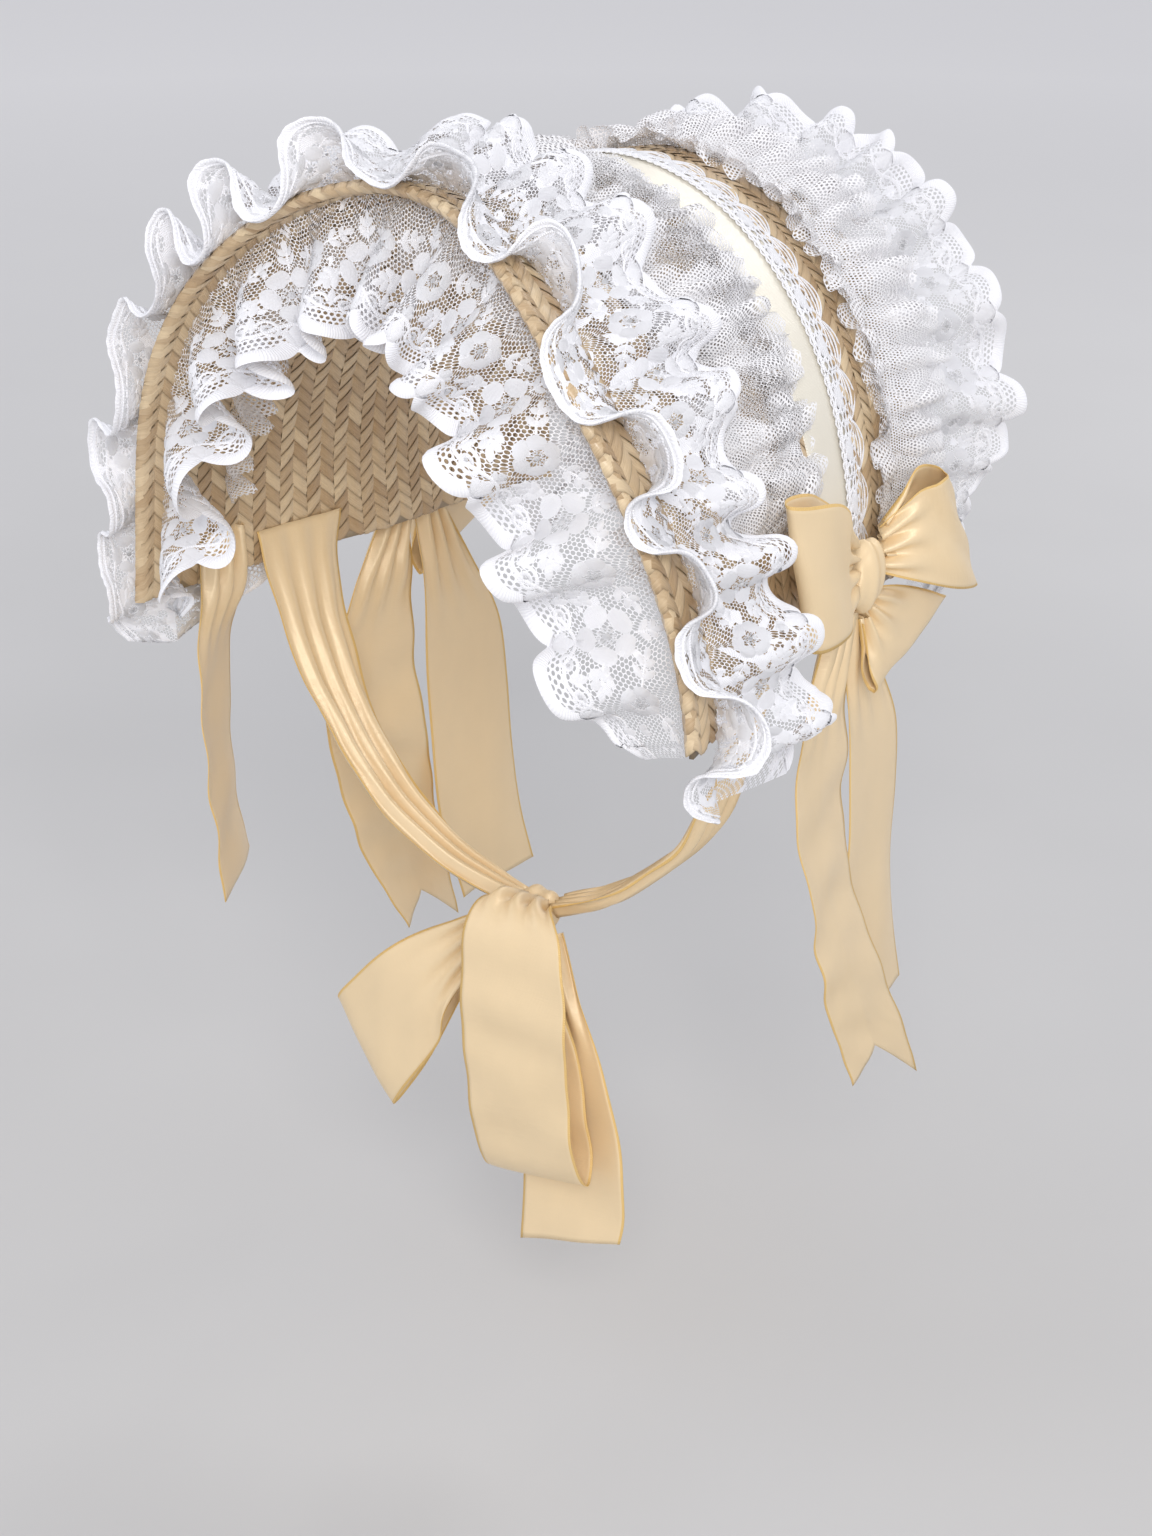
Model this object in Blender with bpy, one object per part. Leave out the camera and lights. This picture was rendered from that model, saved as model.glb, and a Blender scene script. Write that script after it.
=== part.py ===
"""Straw half bonnet with lace and tulle ruffles, a satin band, side bows and chin ties.

All named sizes are in millimetres. +Z is up, the wearer looks towards -Y, and +X is the
wearer's left. The origin is the crown seat: the middle of the straw's inner face, where the
top of the head carries the bonnet.
"""

import math

import bmesh
import bpy
import numpy as np

MM = 0.001

# Wall thicknesses.
STRAW = 2.0
LACE = 1.0
TULLE = 1.0
RIBBON = 1.0
GAP = 0.3
HALF_STRAW = STRAW / 2

# Where the satin band and the trim beside it lie, behind the rim.
BAND_FRONT = 112.0
BAND_BACK = 142.0
TRIM_FRONT = 133.0
TRIM_STEP = 143.0
TRIM_BACK = 153.0

# Columns of a straw section, from the front rim to the back edge. Each section is an arch over
# the head: half of an ellipse that is half_width wide and drop high, then a straight side.
Y, TOP, HALF_WIDTH, DROP, FLARE, DIP, SWEEP, SIDE = range(8)
SECTIONS = (
    (-127, 15, 118, 172, 7, -17, -6, 0),
    (-65, 4, 109, 154, 3, -7, 3, 6),
    (-14, 1, 100, 138, 0, 0, 9, 20),
    (14, 1, 97, 132, 0, 2, 10, 26),
    (54, -3, 94, 124, 0, 4, 12, 32),
    (76, -10, 89, 116, 0, 5, 13, 34),
)

# Columns of a ruffle's profile: how far behind the rim it lies, how high it stands over the
# straw's middle face, and how far a fold moves it to either side, across the profile.
BEHIND, HEIGHT, FOLD = range(3)
LACE_OUTER_PROFILE = (
    (-7, 15, 12),
    (3, 11, 6),
    (16, 2.2, 0.2),
    (29, 10, 2),
    (42, 15, 3.5),
    (60, 17, 5),
)
LACE_INNER_PROFILE = (
    (9, -2.0, 0.1),
    (5, -15, 4),
    (-2, -32, 8),
    (-8, -50, 11),
)
TULLE_FRONT_PROFILE = (
    (48, 2.4, 0.3),
    (62, 5.5, 1.2),
    (82, 9, 2.2),
    (104, 8, 2.0),
    (122, 5.5, 1.2),
)
TULLE_BACK_PROFILE = (
    (157, 7, 1.8),
    (172, 1.9, 0.2),
    (188, 10, 2.5),
    (208, 12, 2.5),
)
LACE_BACK_PROFILE = (
    (190, 1.9, 0.05),
    (206, 2.4, 0.2),
    (220, 6, 1.5),
    (236, 18, 4),
    (250, 30, 8),
)
TULLE_INNER_PROFILE = (
    (36, -2.0, 0.1),
    (31, -12, 2.5),
    (27, -26, 4),
)

# How far round the arch each strip goes.
LACE_OUTER_REACH = 1.1
LACE_INNER_REACH = 1.02
TULLE_FRONT_REACH = 0.8
TULLE_BACK_REACH = 0.96
LACE_BACK_REACH = 1.14
TULLE_INNER_REACH = 0.84

# Along a strip, by how far round the arch: how much of what stands over its seat is left, and how
# far its far edge swings back.
FULL = ((0.0, 1.0), (1.0, 1.0))
STILL = ((0.0, 0.0), (1.0, 0.0))
LACE_OUTER_SWING = (
    (0.0, 0),
    (0.5, -2),
    (0.72, -20),
    (0.9, -6),
    (1.1, 20),
)
LACE_BACK_SWING = ((0.95, 0), (1.16, -40))
LACE_INNER_ENDS = ((0.8, 1.0), (1.02, 0.65))
TULLE_FRONT_ENDS = ((0.5, 1.0), (0.72, 0.45))
TULLE_BACK_ENDS = ((0.6, 1.0), (0.85, 0.5))
LACE_BACK_ENDS = ((0.7, 1.0), (0.95, 0.35))

# Columns of a fold: where its crest lies round the arch, from -1 at the wearer's right end of
# the straw over 0 at the top to 1 at the left end, and how strong it is.
STATION, STRENGTH = range(2)
LACE_OUTER_FOLDS = (
    (-1.04, 0.8),
    (-0.86, 1.0),
    (-0.66, 0.8),
    (-0.48, 0.9),
    (-0.31, 1.1),
    (-0.12, 1.2),
    (0.06, 0.8),
    (0.26, 1.1),
    (0.44, 0.7),
    (0.62, 0.9),
    (0.80, 0.9),
    (0.99, 0.9),
)
LACE_INNER_FOLDS = (
    (-0.97, 0.7),
    (-0.83, 1.0),
    (-0.68, 0.9),
    (-0.52, 1.1),
    (-0.37, 0.8),
    (-0.22, 1.0),
    (-0.08, 0.9),
    (0.07, 1.1),
    (0.21, 0.8),
    (0.36, 1.0),
    (0.51, 0.9),
    (0.66, 1.0),
    (0.81, 0.8),
    (0.96, 0.7),
)
LACE_BACK_FOLDS = (
    (-1.08, 0.7),
    (-0.93, 1.0),
    (-0.77, 0.8),
    (-0.62, 1.1),
    (-0.48, 0.8),
    (-0.33, 1.0),
    (-0.18, 0.9),
    (-0.03, 1.0),
    (0.12, 0.8),
    (0.27, 1.1),
    (0.42, 0.9),
    (0.57, 1.0),
    (0.72, 0.8),
    (0.88, 1.0),
    (1.06, 0.8),
)
TULLE_FOLDS = tuple((-1.0 + 2.0 * k / 16, 0.8 + 0.25 * math.sin(2.1 * k)) for k in range(17))

# Columns of a ribbon's station: its middle, its width, and the direction across it as a turn
# about the upright (0 along Y, 90 along X) and a rise from the level.
RX, RY, RZ, WIDTH, TURN, RISE = range(6)

BOW_LOOP_FRONT = (
    (108.5, 4, -134, 18, 0, 90),
    (119, -16, -127, 34, 0, 94),
    (128, -38, -119, 54, 0, 102),
    (127.5, -57, -117, 62, 0, 108),
    (123.5, -63, -116, 63, 0, 109),
    (119.5, -57, -115, 60, 0, 107),
    (117.5, -40, -115, 50, 0, 102),
    (113, -16, -121, 30, 0, 94),
    (107, 1, -129, 14, 0, 90),
)
BOW_LOOP_BACK_UPPER = (
    (108.2, 24.4, -134, 18, 0, 90),
    (118, 36, -131, 36, 0, 98),
    (124, 52, -133, 54, 0, 112),
    (122, 67, -136, 64, 0, 120),
    (118, 71, -136, 65, 0, 120),
    (114.5, 64, -132, 58, 0, 117),
    (112.5, 48, -126, 44, 0, 108),
    (111, 36, -127, 26, 0, 98),
    (108, 27, -130, 14, 0, 90),
)
BOW_LOOP_BACK_LOWER = (
    (107, 19.2, -155.4, 14, 0, 60),
    (110, 27, -163, 30, 0, 48),
    (112, 37, -171, 46, 0, 32),
    (112, 47, -178, 58, 0, 22),
    (110, 50, -180, 62, 0, 20),
    (107.5, 45, -176, 56, 0, 22),
    (106.5, 35, -169, 42, 0, 34),
    (105.5, 25, -161, 24, 0, 50),
    (105, 18.2, -154.4, 12, 0, 60),
)
BOW_TAIL_FRONT = (
    (106, 3, -154, 16, -4, 0),
    (107, -6, -182, 34, -5, 0),
    (109, -15, -214, 48, -7, 0),
    (111, -12, -250, 50, -15, 0),
    (113, -2, -282, 50, -11, 0),
    (116, 8, -310, 50, -4, -4),
    (118, 22, -342, 50, 3, -12),
    (119, 34, -368, 50, 8, -18),
)
BOW_TAIL_BACK = (
    (102.8, 18, -151.3, 14, 0, 0),
    (101.6, 29, -186, 32, -4, 0),
    (102, 38, -218, 46, -6, 0),
    (102, 42, -250, 50, -7, 0),
    (101, 45, -285, 50, -7, 0),
    (101, 51, -320, 50, -7, -3),
    (101, 62, -355, 50, -8, -6),
)
CHIN_TIE_LEFT = (
    (107.9, -58, -142, 42, -11.5, 0),
    (105, -58, -168, 36, -9, 0),
    (97, -57, -198, 32, -5, 0),
    (84.5, -57, -225, 28, 0, 0),
    (64, -58, -249, 24, 0, 0),
    (40, -60, -266, 20, 0, 0),
    (22.2, -63, -274.5, 12, 0, 0),
)
CHIN_TIE_RIGHT = (
    (107.9, -58, -142, 42, -11.5, 0),
    (105, -58, -168, 36, -9, 0),
    (97, -57, -198, 32, -5, 0),
    (83.5, -57, -226, 28, 0, 0),
    (61, -58, -251, 24, 0, 0),
    (33, -59, -267.5, 18, 0, 0),
    (10, -59.5, -274.5, 13, 0, 0),
    (-3, -60.5, -276.5, 9, 0, 0),
)
CHIN_LOOP_LONG = (
    (16, -69.7, -271.6, 16, 90, 0),
    (18, -84, -263, 30, 90, 0),
    (22, -94, -272, 44, 90, 2),
    (25, -98, -300, 50, 90, 4),
    (25, -97, -335, 50, 90, 5),
    (26, -94, -366, 50, 90, 6),
    (26, -87, -385, 50, 90, 8),
    (24, -79, -388, 50, 90, 8),
    (20, -74, -374, 50, 90, 8),
    (17, -72, -345, 44, 90, 6),
    (15, -71, -312, 28, 90, 3),
    (14, -71, -292, 14, 90, 0),
)
CHIN_LOOP_SHORT = (
    (5.6, -68.7, -279, 14, 0, 90),
    (-12, -76, -296, 28, 0, 90),
    (-34, -85, -322, 44, -90, 60),
    (-56, -86, -350, 50, -90, 57),
    (-64, -82, -361, 51, -90, 56),
    (-62, -77, -357, 51, -90, 56),
    (-46, -75, -335, 46, -90, 58),
    (-22, -70, -306, 28, -90, 74),
    (1, -66, -283, 12, 0, 90),
)
CHIN_TAIL_LONG = (
    (16, -63.4, -286.6, 14, 90, 0),
    (19, -66, -312, 30, 90, -6),
    (25, -68, -340, 46, 90, -8),
    (32, -70, -370, 50, 90, -4),
    (35, -72, -400, 50, 90, 4),
    (34, -74, -424, 50, 90, 14),
)
CHIN_TAIL_SHORT = (
    (9.5, -60, -285.3, 14, 90, 0),
    (5, -58, -310, 30, 90, 4),
    (6, -59, -340, 46, 90, 6),
    (10, -60, -366, 50, 90, 8),
)
SIDE_STREAMER = (
    (-114.2, -94.2, -136, 22, 9.7, 0),
    (-113.2, -95.5, -158, 28, -4, 0),
    (-117, -102, -186, 44, -26, 0),
    (-114, -107, -218, 50, -31, 0),
    (-112, -106, -250, 50, -33, 0),
    (-112, -100, -284, 50, -30, 0),
)

# Knots, as middles and half sizes along X, Y and Z.
SIDE_KNOT = ((107.9, 14, -141), (6.5, 10, 14))
CHIN_KNOT = ((13, -64, -277), (10, 6.5, 9))
KNOT_ROUNDS = 10
KNOT_RINGS = 6

# How finely each kind of piece is divided.
SHELL_SEGMENTS = (32, 9)
LACE_SEGMENTS = 72
TULLE_SEGMENTS = 40
BAND_SEGMENTS = 30
BAND_REACH = 2 / SHELL_SEGMENTS[0] * BAND_SEGMENTS / 2
STEPS_PER_STATION = 2
SLOPE_STEP = 0.01
RIBBON_ACROSS = 2

# Colours, roughness and metallic value of each material.
FINISHES = {
    "straw": ((0.72, 0.52, 0.26), 0.55, 0.0),
    "lace": ((0.90, 0.90, 0.93), 0.85, 0.0),
    "tulle": ((0.88, 0.87, 0.89), 0.80, 0.0),
    "satin": ((0.95, 0.84, 0.56), 0.35, 0.0),
}


def smooth(rows, column, at):
    """The column's value between the rows of a table, on a smooth curve through all of them.

    The first column is the place of a row. Outside the table the curve goes on straight.
    """
    x = np.array([r[0] for r in rows], float)
    y = np.array([r[column] for r in rows], float)
    return smooth_curve(x, y, at)


def smooth_curve(x, y, at):
    """Values between knots by a cubic with the neighbours' slopes, straight beyond the ends."""
    slope = np.gradient(y, x)
    at = np.asarray(at, float)
    inside = np.clip(at, x[0], x[-1])
    k = np.clip(np.searchsorted(x, inside, side="right") - 1, 0, len(x) - 2)
    span = x[k + 1] - x[k]
    f = (inside - x[k]) / span
    value = (
        (2 * f**3 - 3 * f**2 + 1) * y[k]
        + (f**3 - 2 * f**2 + f) * span * slope[k]
        + (3 * f**2 - 2 * f**3) * y[k + 1]
        + (f**3 - f**2) * span * slope[k + 1]
    )
    ends = np.where(at < x[0], slope[0] * (at - x[0]), slope[-1] * (at - x[-1]))
    return value + np.where((at < x[0]) | (at > x[-1]), ends, 0.0)


def eased(rows, at):
    """The second column's value between rows, level at each row and beyond the ends."""
    x, y = np.array(rows, float).T
    at = np.clip(at, x[0], x[-1])
    k = np.clip(np.searchsorted(x, at, side="right") - 1, 0, len(x) - 2)
    f = (1 - np.cos(math.pi * (at - x[k]) / (x[k + 1] - x[k]))) / 2
    return y[k] * (1 - f) + y[k + 1] * f


def section_places():
    """How far each section lies behind the rim, measured over the top of the straw."""
    steps = [math.hypot(b[Y] - a[Y], b[TOP] - a[TOP]) for a, b in zip(SECTIONS, SECTIONS[1:])]
    return np.concatenate([[0.0], np.cumsum(steps)])


PLACES = section_places()


def section(column, behind):
    return smooth_curve(PLACES, np.array([s[column] for s in SECTIONS], float), behind)


def straw_middle(station, behind):
    """Points on the middle face of the straw."""
    station, behind = np.broadcast_arrays(
        np.asarray(station, float), np.asarray(behind, float)
    )
    away = np.abs(station)
    wide, drop = section(HALF_WIDTH, behind), section(DROP, behind)
    arch = math.pi / 4 * (3 * (wide + drop) - np.sqrt((3 * wide + drop) * (wide + 3 * drop)))
    along = away * (arch + section(SIDE, behind))
    turn = np.minimum(along / arch, 1.0) * math.pi / 2
    near = np.minimum(away, 1.0)
    x = wide * np.sin(turn) + section(FLARE, behind) * near**3
    y = section(Y, behind) + section(DIP, behind) * np.sin(math.pi * near) ** 2
    y = y + section(SWEEP, behind) * near**2
    z = section(TOP, behind) - drop * (1 - np.cos(turn)) - np.maximum(along - arch, 0.0)
    return np.stack([np.sign(station) * x, y, z], axis=-1)


def straw_outward(station, behind):
    """The outward direction of the straw."""
    step = 0.002
    along = straw_middle(station + step, behind) - straw_middle(station - step, behind)
    back = straw_middle(station, behind + 1) - straw_middle(station, behind - 1)
    out = np.cross(along, back)
    return out / np.linalg.norm(out, axis=-1, keepdims=True)


def over_straw(station, behind, height):
    """Points at a height over the middle face of the straw, inwards where it is negative."""
    lift = straw_outward(station, behind) * np.asarray(height)[..., None]
    return straw_middle(station, behind) + lift


def fold_wave(folds, station):
    """1 times the strength at each crest and -1 times it half way between two crests."""
    knots, values = [], []
    for k, fold in enumerate(folds):
        knots.append(fold[STATION])
        values.append(fold[STRENGTH])
        if k + 1 < len(folds):
            knots.append((fold[STATION] + folds[k + 1][STATION]) / 2)
            values.append(-(fold[STRENGTH] + folds[k + 1][STRENGTH]) / 2)
    return eased(list(zip(knots, values)), station)


def finish(name):
    """The material of that name, made once."""
    material = bpy.data.materials.get(name) or bpy.data.materials.new(name)
    colour, roughness, metallic = FINISHES[name]
    material.use_nodes = True
    shader = material.node_tree.nodes["Principled BSDF"]
    shader.inputs["Base Color"].default_value = (*colour, 1.0)
    shader.inputs["Roughness"].default_value = roughness
    shader.inputs["Metallic"].default_value = metallic
    return material


def add_object(name, mesh, material):
    obj = bpy.data.objects.new(name, mesh)
    bpy.context.scene.collection.objects.link(obj)
    own = finish(material).copy()
    own.name = name + "_" + material
    mesh.materials.append(own)
    return obj


def sheet(name, along, across, place, thickness, material, flip=False):
    """A wall of even thickness whose middle face is place(along, across), both from 0 to 1."""
    bm = bmesh.new()
    bmesh.ops.create_grid(bm, x_segments=along, y_segments=across, size=0.5)
    verts = list(bm.verts)
    a = np.array([v.co.x + 0.5 for v in verts])
    b = np.array([v.co.y + 0.5 for v in verts])
    for v, p in zip(verts, place(a, b) * MM):
        v.co = p
    if flip:
        bmesh.ops.reverse_faces(bm, faces=bm.faces)
    mesh = bpy.data.meshes.new(name)
    bm.to_mesh(mesh)
    bm.free()
    mesh.shade_smooth()
    obj = add_object(name, mesh, material)
    wall = obj.modifiers.new("wall", "SOLIDIFY")
    wall.thickness = thickness * MM
    wall.offset = 0.0
    return obj


def straw_shell():
    def place(a, b):
        return straw_middle(2 * a - 1, b * PLACES[-1])

    sheet("straw_shell", *SHELL_SEGMENTS, place, STRAW, "straw")


def ruffle(name, profile, folds, reach, grid, material, ends=FULL, swing=STILL):
    """A gathered strip over the straw, from its profile and its folds, reach round the arch."""
    rows = np.arange(len(profile), dtype=float)
    columns = [np.array([p[c] for p in profile], float) for c in (BEHIND, HEIGHT, FOLD)]
    seat = columns[HEIGHT][np.argmin(np.abs(columns[HEIGHT]))]

    def along_profile(column, b):
        return smooth_curve(rows, columns[column], b * rows[-1])

    def slope(column, b):
        return along_profile(column, b + SLOPE_STEP) - along_profile(column, b - SLOPE_STEP)

    def place(a, b):
        station = (2 * a - 1) * reach
        around = np.abs(station)
        rise, run = slope(HEIGHT, b), slope(BEHIND, b)
        wave = along_profile(FOLD, b) * fold_wave(folds, station) / np.hypot(rise, run)
        behind = along_profile(BEHIND, b) - rise * wave + b * eased(swing, around)
        lift = (along_profile(HEIGHT, b) + run * wave - seat) * eased(ends, around)
        return over_straw(station, behind, seat + lift)

    sheet(name, *grid, place, LACE if material == "lace" else TULLE, material)


def ruffles():
    ruffle(
        "front_lace_outer", LACE_OUTER_PROFILE, LACE_OUTER_FOLDS, LACE_OUTER_REACH,
        (LACE_SEGMENTS, 5), "lace", swing=LACE_OUTER_SWING,
    )
    ruffle(
        "front_lace_inner", LACE_INNER_PROFILE, LACE_INNER_FOLDS, LACE_INNER_REACH,
        (LACE_SEGMENTS, 3), "lace", ends=LACE_INNER_ENDS,
    )
    ruffle(
        "back_lace", LACE_BACK_PROFILE, LACE_BACK_FOLDS, LACE_BACK_REACH,
        (LACE_SEGMENTS, 4), "lace", ends=LACE_BACK_ENDS, swing=LACE_BACK_SWING,
    )
    ruffle(
        "front_tulle", TULLE_FRONT_PROFILE, TULLE_FOLDS, TULLE_FRONT_REACH,
        (TULLE_SEGMENTS, 4), "tulle", ends=TULLE_FRONT_ENDS,
    )
    ruffle(
        "back_tulle", TULLE_BACK_PROFILE, TULLE_FOLDS, TULLE_BACK_REACH,
        (TULLE_SEGMENTS, 4), "tulle", ends=TULLE_BACK_ENDS,
    )
    ruffle(
        "inner_tulle", TULLE_INNER_PROFILE, TULLE_FOLDS, TULLE_INNER_REACH,
        (TULLE_SEGMENTS, 2), "tulle",
    )


def satin_band():
    height = HALF_STRAW + GAP + RIBBON / 2

    def place(a, b):
        behind = BAND_FRONT + b * (BAND_BACK - BAND_FRONT)
        return over_straw((2 * a - 1) * BAND_REACH, behind, np.full_like(a, height))

    sheet("satin_band", BAND_SEGMENTS, 2, place, RIBBON, "satin")


def cluny_trim():
    on_band = HALF_STRAW + GAP + RIBBON + GAP + LACE / 2
    on_straw = HALF_STRAW + GAP + LACE / 2
    rows = (
        (0.0, TRIM_FRONT, on_band),
        (0.5, TRIM_STEP, on_band),
        (1.0, TRIM_BACK, on_straw),
    )

    def place(a, b):
        station = (2 * a - 1) * BAND_REACH
        return over_straw(station, smooth(rows, 1, b), smooth(rows, 2, b))

    sheet("cluny_trim", BAND_SEGMENTS, 3, place, LACE, "lace")


def ribbon(name, stations, side=1):
    """A ribbon through its stations. side -1 mirrors it to the wearer's other side."""
    table = np.array(stations, float)
    at = np.arange(len(table), dtype=float)

    def place(a, b):
        row = a * (len(table) - 1)
        x, y, z, width, turn, rise = [smooth_curve(at, table[:, c], row) for c in range(6)]
        turn, rise = np.radians(turn), np.radians(rise)
        reach = (b - 0.5) * width
        x = x + reach * np.sin(turn) * np.cos(rise)
        y = y + reach * np.cos(turn) * np.cos(rise)
        z = z + reach * np.sin(rise)
        return np.stack([x * side, y, z], axis=-1)

    along = STEPS_PER_STATION * (len(table) - 1)
    sheet(name, along, RIBBON_ACROSS, place, RIBBON, "satin", flip=side < 0)


def knot(name, middle, half_sizes, side=1):
    """A soft knot: a round body, flattened to its three half sizes."""
    bm = bmesh.new()
    bmesh.ops.create_uvsphere(bm, u_segments=KNOT_ROUNDS, v_segments=KNOT_RINGS, radius=1.0)
    for v in bm.verts:
        v.co = [
            (m * s + h * c) * MM
            for m, s, h, c in zip(middle, (side, 1, 1), half_sizes, v.co)
        ]
    mesh = bpy.data.meshes.new(name)
    bm.to_mesh(mesh)
    bm.free()
    mesh.shade_smooth()
    add_object(name, mesh, "satin")


def side_bows():
    for side, word in ((1, "left"), (-1, "right")):
        knot(f"side_knot_{word}", *SIDE_KNOT, side)
        ribbon(f"bow_loop_front_{word}", BOW_LOOP_FRONT, side)
        ribbon(f"bow_loop_upper_{word}", BOW_LOOP_BACK_UPPER, side)
        ribbon(f"bow_loop_lower_{word}", BOW_LOOP_BACK_LOWER, side)
        ribbon(f"bow_tail_front_{word}", BOW_TAIL_FRONT, side)
        ribbon(f"bow_tail_back_{word}", BOW_TAIL_BACK, side)


def chin_ties():
    ribbon("chin_tie_left", CHIN_TIE_LEFT)
    ribbon("chin_tie_right", CHIN_TIE_RIGHT, -1)
    knot("chin_knot", *CHIN_KNOT)
    ribbon("chin_loop_long", CHIN_LOOP_LONG)
    ribbon("chin_loop_short", CHIN_LOOP_SHORT)
    ribbon("chin_tail_long", CHIN_TAIL_LONG)
    ribbon("chin_tail_short", CHIN_TAIL_SHORT)
    ribbon("side_streamer", SIDE_STREAMER)


def main():
    for obj in list(bpy.data.objects):
        bpy.data.objects.remove(obj)
    straw_shell()
    ruffles()
    satin_band()
    cluny_trim()
    side_bows()
    chin_ties()


main()
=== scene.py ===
"""Looks of a straw half bonnet: plaited straw, gathered lace and net, satin band, bows and ties.

Lengths in the tables are in millimetres. +Z is up, the wearer looks towards -Y and +X is the
wearer's left. The origin is the crown seat, on the straw's inner face at the top.
"""

import math

import bmesh
import bpy
import numpy as np
from bpy.props import FloatProperty, FloatVectorProperty, PointerProperty
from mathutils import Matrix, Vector


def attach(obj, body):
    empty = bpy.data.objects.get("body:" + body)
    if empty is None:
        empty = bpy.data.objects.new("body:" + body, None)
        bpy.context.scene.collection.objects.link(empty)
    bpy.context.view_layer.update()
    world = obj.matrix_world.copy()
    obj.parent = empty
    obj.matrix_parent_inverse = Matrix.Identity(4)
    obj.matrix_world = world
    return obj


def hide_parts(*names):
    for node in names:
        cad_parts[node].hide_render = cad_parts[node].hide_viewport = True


bl_info = {
    "name": "Straw half bonnet",
    "version": (1, 0, 0),
    "blender": (4, 5, 0),
    "location": "View3D > Sidebar > Bonnet",
    "description": "Plaited straw, lace, net and satin for a half bonnet",
    "category": "Object",
}

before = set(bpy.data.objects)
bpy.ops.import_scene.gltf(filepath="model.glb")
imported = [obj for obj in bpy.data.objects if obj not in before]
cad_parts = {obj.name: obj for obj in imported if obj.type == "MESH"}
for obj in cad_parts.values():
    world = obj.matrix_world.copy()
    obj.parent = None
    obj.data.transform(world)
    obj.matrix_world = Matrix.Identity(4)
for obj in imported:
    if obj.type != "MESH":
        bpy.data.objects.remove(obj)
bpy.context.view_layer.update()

MM = 0.001

# Columns of a straw section, from the front rim to the back edge. Each section is an arch over
# the head: half of an ellipse that is half_width wide and drop high, then a straight side. Its
# ends are spread by flare. It is moved back by dip halfway down and by sweep at its ends.
Y, TOP, HALF_WIDTH, DROP, FLARE, DIP, SWEEP, SIDE = range(8)
SECTIONS = np.array((
    (-127, 15, 118, 172, 7, -17, -6, 0),
    (-65, 4, 109, 154, 3, -7, 3, 6),
    (-14, 1, 100, 138, 0, 0, 9, 20),
    (14, 1, 97, 132, 0, 2, 10, 26),
    (54, -3, 94, 124, 0, 4, 12, 32),
    (76, -10, 89, 116, 0, 5, 13, 34),
), float)
# How far each section lies behind the rim, measured over the top of the straw.
STEPS = np.hypot(np.diff(SECTIONS[:, Y]), np.diff(SECTIONS[:, TOP]))
PLACES = np.concatenate([[0.0], np.cumsum(STEPS)])

# Columns of a frill's profile: how far across the flat strip, from its seam, then how far behind
# the rim it lies there, how high over the straw's middle face, and how far a fold moves it.
ACROSS, BEHIND, HEIGHT, FOLD = range(4)
OUTER_FRONT_ROWS = ((0, 16, 2.2, -0.2), (8, 9.5, 6, -3.5), (19, 1.5, 9.5, -10), (34, -7, 12, -18))
OUTER_REAR_ROWS = ((0, 16, 2.6, 0.2), (15, 27, 11, 4.0), (29, 39, 18, 6.8), (47, 56, 21, 8.6))
INNER_ROWS = ((0, 9, -2.2, 0.1), (13, 5, -15, 4.6), (31, -2, -32, 9.0), (50, -8, -50, 12))
BACK_ROWS = (
    (0, 192, 2.2, 0.1), (14, 206, 3.0, 0.6), (30, 221, 7.5, 3.2), (50, 236, 19, 6.2),
    (68, 248, 32, 6.8),
)
TULLE_FRONT_ROWS = (
    (0, 48, 2.4, 0.4), (16, 60, 6, 2.0), (37, 77, 11, 3.4), (57, 97, 10, 3.6), (76, 115, 5.0, 3.0)
)
TULLE_FORE_ROWS = ((0, 172, 2.2, 0.3), (8, 168, 6, 1.6), (20, 157, 8, 3.0))
TULLE_REAR_ROWS = ((0, 172, 2.2, 0.3), (10, 180, 7, 2.0), (20, 190, 11, 4.0), (40, 209, 13, 4.6))
TULLE_INNER_ROWS = ((0, 36, -2.2, 0.1), (12, 31, -12, 2.6), (27, 27, -26, 4.4))

# Columns of a fold: where its crest lies round the arch, from -1 at the wearer's right end of
# the straw over 0 at the top to 1 at the left end, how strong it is, and how far it leans.
STATION, STRENGTH, LEAN = range(3)
FRONT_FOLDS = (
    (-1.08, 0.6, 0.1), (-0.93, 0.35, -0.1), (-0.79, 0.9, -0.1), (-0.58, 0.5, 0.1),
    (-0.43, 0.9, 0.15), (-0.30, 0.95, -0.1), (-0.11, 0.8, -0.15), (0.11, 0.5, 0.15),
    (0.37, 0.85, -0.15), (0.61, 0.85, 0.1), (0.78, 0.4, -0.1), (0.95, 0.8, 0.1), (1.15, 0.6, 0.0),
)
INNER_FOLDS = (
    (-0.98, 0.7, 0.1), (-0.79, 1.0, -0.15), (-0.60, 0.9, 0.2), (-0.43, 1.1, 0.1),
    (-0.25, 0.8, -0.2), (-0.08, 1.0, 0.15), (0.09, 1.1, 0.2), (0.26, 0.8, 0.1),
    (0.44, 1.0, -0.2), (0.62, 0.9, 0.15), (0.80, 0.8, -0.1), (0.98, 0.7, 0.1),
)


def both_sides(*rows):
    """Rows for both sides of the arch from the rows of its left half."""
    return tuple((-place, value) for place, value in reversed(rows)) + rows


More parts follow.
